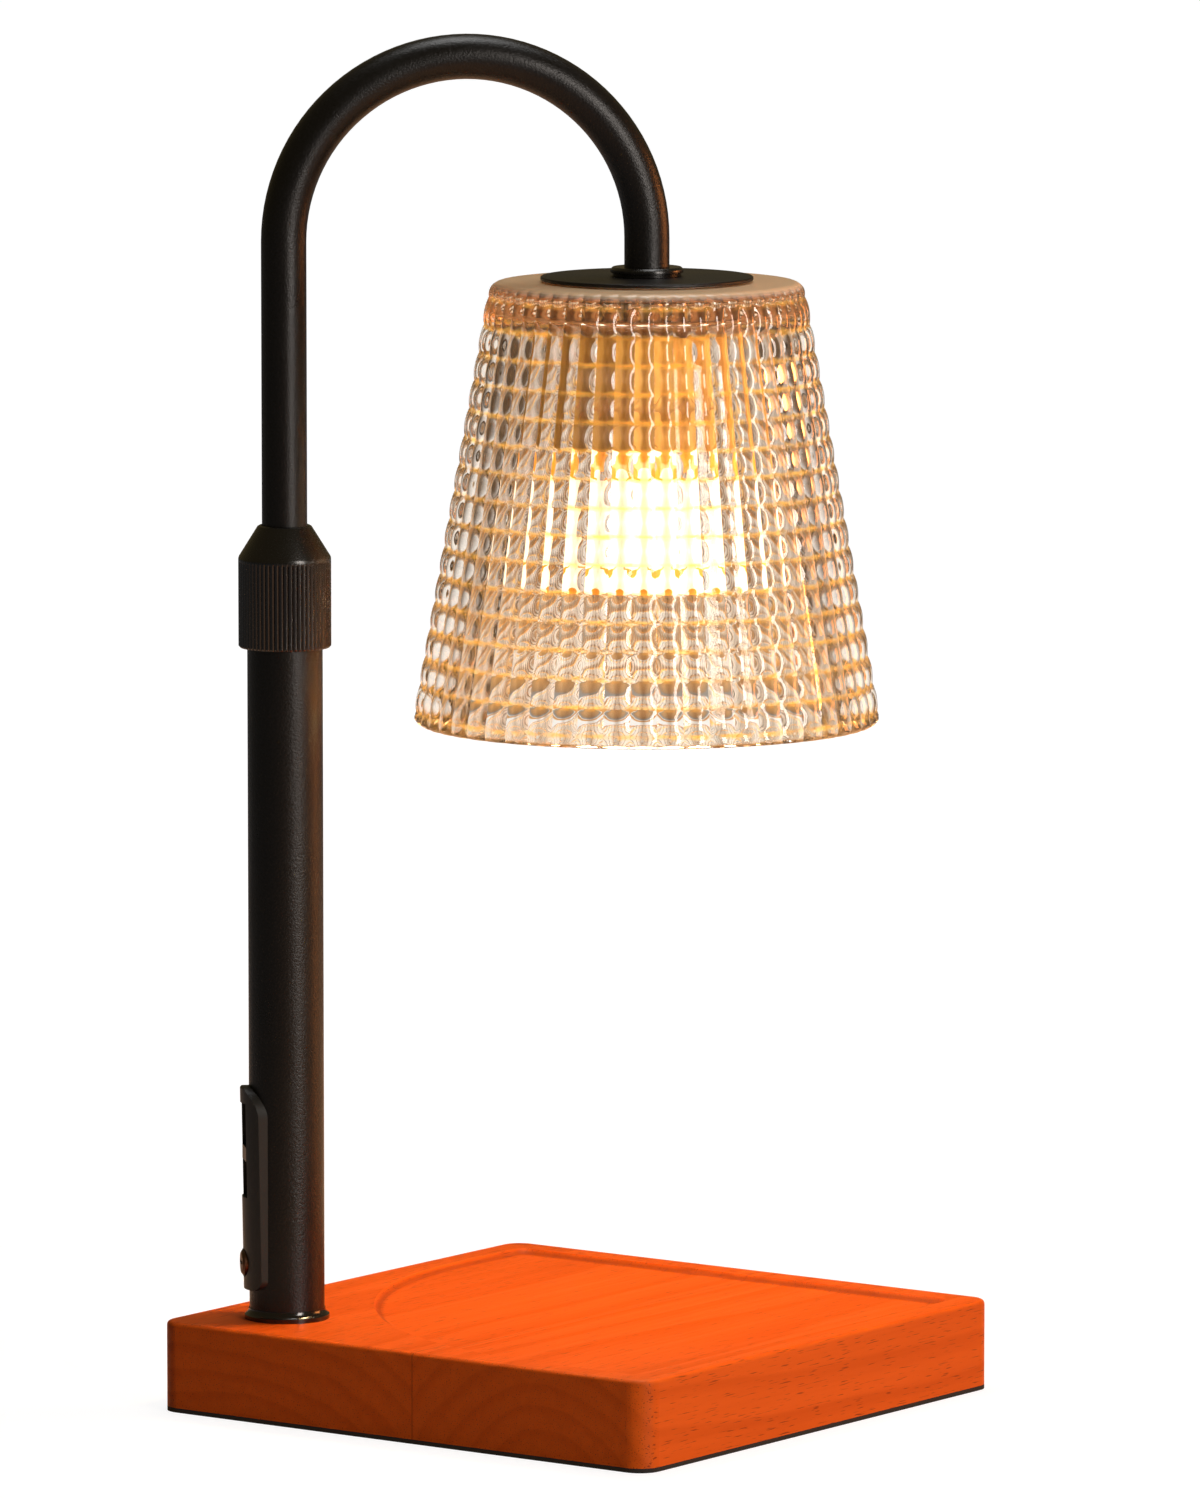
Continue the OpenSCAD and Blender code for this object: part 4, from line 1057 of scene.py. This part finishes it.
@dataclass
class Studio:
    """Camera, soft lamps, white surround and pale floor."""

    azimuth: float = -8.97
    elevation: float = 7.03
    distance: float = 3.1229
    target: Point = (0.00599, 0.0, 0.1749)
    lens: float = 281.65
    lamps: Sequence[Softbox] = (
        Softbox("key_strip_box", (1.15, -1.95, 0.75), (0.55, 1.4), 35.0, "#fff6ee"),
        Softbox("warm_side_box", (1.8, 0.2, 0.35), (0.7, 0.6), 12.0, "#ff9a54"),
        Softbox("top_softbox", (0.2, 0.3, 2.1), (0.9, 0.9), 16.5, "#ffffff"))
    lamps_aim: Point = (0.0, 0.0, 0.18)
    fill: float = 0.04
    # Painted reflections for glass: what it sees, by how far from the horizon or how far over the floor,
    # and the colour there
    overhead: Stops = ((0.22, "#ffffff"), (0.4, "#dc9c44"), (0.9, "#b87830"))
    underfoot: Stops = ((0.25, "#c07820"), (0.6, "#e09c38"), (1.3, "#9c7038"), (1.42, "#85807c"),
                        (1.6, "#85807c"), (1.63, "#ffffff"), (1.69, "#ffffff"), (1.72, "#c08030"),
                        (2.0, "#d89c44"), (2.1, "#ffffff"))
    # Painted reflection: the dark amber that glass sees at the sides
    sides: str = "#584534"
    # Where the panels ahead and behind start and are whole, by the cosine of the way to them
    panel: Span = (0.52, 0.86)
    # What gloss sees: the horizon, and on the floor grey and a painted warm pool of light, which fades
    # with its distance and to the lamp's left
    horizon: str = "#685c40"
    painted_warm_pool: str = "#ffb068"
    gloss: float = 0.06
    pool_reach: Span = (0.3, 1.1)
    pool_left: Span = (0.35, -0.5)
    # The floor's half width, its colour, and its glow where it is seen, by its distance
    floor_half: float = 30.0
    paper: str = "#8f8d8b"
    floor_glow: tuple[float, ...] = (0.15, 0.9, 0.86, 1.0)

    def sweep_away(self) -> None:
        """Remove what Blender's own start file brings."""
        for name in ("Cube", "Light", "Camera"):
            if name in bpy.data.objects:
                bpy.data.objects.remove(bpy.data.objects[name])

    def aim(self, piece: Object, target: Point) -> None:
        """Turn a camera or lamp to look at a point."""
        way = Vector(target) - piece.location
        piece.rotation_euler = way.to_track_quat("-Z", "Y").to_euler()

    def camera(self) -> None:
        """Set the camera at the photograph's viewing angle."""
        data = bpy.data.cameras.new("camera")
        data.sensor_width = 36.0
        data.lens = self.lens
        data.clip_end = 100.0
        view = link_object("camera", data)
        az, el = math.radians(self.azimuth), math.radians(self.elevation)
        view.location = Vector(self.target) + self.distance * Vector(
            (math.sin(az) * math.cos(el), -math.cos(az) * math.cos(el), math.sin(el)))
        self.aim(view, self.target)
        bpy.context.scene.camera = view

    def light(self) -> None:
        """Hang the soft lamps."""
        for box in self.lamps:
            data = bpy.data.lights.new(box.name, "AREA")
            data.shape = "RECTANGLE"
            data.size, data.size_y = box.size
            data.energy = box.power
            data.color = srgb(box.colour)[:3]
            lamp = link_object(box.name, data)
            lamp.location = box.place
            self.aim(lamp, self.lamps_aim)

    def seen(self, tree: NodeTree, way: NodeSocket, reach: NodeSocket, stops: Stops, rest: float,
             mirror: Any, far: Any) -> NodeSocket:
        """Say how bright the white surround is to each kind of ray.

        The camera sees it white. Glass sees it white ahead and behind, and painted reflections in amber
        and grey overhead, at the sides and underfoot, which stand in for the lamp's own glow and the room
        round it. Gloss sees a dim room.

        Args:
            tree: The tree of the world or of the floor's material.
            way: Direction from the lamp.
            reach: How far from the horizon, or from the lamp, the spot is.
            stops: Reaches and the colours that glass sees there.
            rest: Brightness to rays that light the lamp.
            mirror: Brightness to gloss.
            far: Brightness to the camera.

        Returns:
            The socket whose colour is the brightness.
        """
        level = add(tree, VECTOR_MATH, [way, (1.0, 1.0, 0.0)], operation="MULTIPLY")
        level = add(tree, VECTOR_MATH, [level], operation="NORMALIZE")
        az = math.radians(self.azimuth)
        ahead = add(tree, VECTOR_MATH, [level, (math.sin(az), -math.cos(az), 0.0)],
                    operation="DOT_PRODUCT").outputs["Value"]
        ahead = add(tree, "ABSOLUTE", [ahead])
        panel = add(tree, MAP_RANGE, [ahead, *self.panel], **SMOOTH)
        span = stops[-1][0]
        ramp = add(tree, "ShaderNodeValToRGB", [add(tree, "MULTIPLY", [reach, 1 / span])])
        marks = ramp.color_ramp.elements
        while len(marks) < len(stops):
            marks.new(1.0)
        for mark, (spot, colour) in zip(marks, stops):
            mark.position, mark.color = spot / span, srgb(colour)
        wall = layered(tree, self.sides, (panel, ramp.outputs["Color"]))
        path = add(tree, "ShaderNodeLightPath").outputs
        return layered(tree, (rest, rest, rest, 1.0), (path["Is Glossy Ray"], mirror),
                       (path["Is Transmission Ray"], wall), (path["Is Camera Ray"], far))

    def surround(self) -> None:
        """Make the world white where it is seen and dimmer where it lights the lamp."""
        world = bpy.data.worlds.new("studio")
        bpy.context.scene.world = world
        tree = blank_tree(world)
        way = add(tree, "ShaderNodeTexCoord").outputs["Generated"]
        up = add(tree, AXES, [way]).outputs["Z"]
        shown = self.seen(tree, way, up, self.overhead, self.fill, self.horizon, "#ffffff")
        sky = add(tree, "ShaderNodeBackground", {"Color": shown, "Strength": 1.0})
        add(tree, "ShaderNodeOutputWorld", {"Surface": sky})

    def floor(self) -> None:
        """Lay a pale floor that keeps the lamp's shadow."""
        half = self.floor_half
        mesh = bpy.data.meshes.new("floor")
        mesh.from_pydata([(-half, -half, 0), (half, -half, 0), (half, half, 0), (-half, half, 0)],
                         [], [(0, 1, 2, 3)])
        ground = link_object("floor", mesh)
        material = bpy.data.materials.new("pale_studio_floor")
        tree = blank_tree(material)
        # A matt paper sweep: the glow only lifts it to white where it is seen, less under the
        # lamp, so that its shadow stays, than far away, where no softbox reaches
        where = add(tree, "ShaderNodeTexCoord").outputs["Object"]
        far = add(tree, VECTOR_MATH, [where], operation="LENGTH").outputs["Value"]
        lift = add(tree, MAP_RANGE, [far, *self.floor_glow], **SMOOTH)
        # Painted reflection: a warm pool of light painted on the floor for gloss only, which stands in
        # for the lit lamp's light on the table, shows in the foot of the post
        side = add(tree, AXES, [where]).outputs["X"]
        fades = [add(tree, MAP_RANGE, [value, *span], **SMOOTH)
                 for value, span in ((far, self.pool_reach), (side, self.pool_left))]
        fade = add(tree, "MAXIMUM", fades)
        painted_pool = layered(tree, self.painted_warm_pool, (fade, (self.gloss,) * 3 + (1.0,)))
        glow = self.seen(tree, where, far, self.underfoot, 0.0, painted_pool, lift)
        paper = add(tree, "ShaderNodeBsdfPrincipled", {
            "Base Color": srgb(self.paper), "Roughness": 0.9, "Specular IOR Level": 0.0,
            "Emission Color": glow, "Emission Strength": 1.0})
        add(tree, "ShaderNodeOutputMaterial", {"Surface": paper})
        mesh.materials.append(material)

    def build(self) -> None:
        """Make the whole studio."""
        self.sweep_away()
        self.camera()
        self.light()
        self.surround()
        self.floor()


def main() -> None:
    """Build the studio and the lamp."""
    logging.basicConfig(level=logging.INFO, format="%(name)s: %(message)s")
    bpy.context.scene.view_settings.view_transform = "Standard"
    nut_low, nut_high = (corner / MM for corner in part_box("clamp_nut"))
    ring_z, disc_z, face = (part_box(node)[0].z / MM
                            for node in ("end_ring", "shade_disc", "bulb_reflector"))
    Studio().build()
    for assembly in (Base(), Post(),
                     HeightClamp((nut_low.x + nut_high.x) / 2, nut_low.z, nut_high.z), Arm(),
                     ShadeFitting(ring_z, disc_z), GlassShade(), Lampholder(), Bulb(face)):
        assembly.build()
        assembly.dress()


if __name__ == "__main__":
    main()
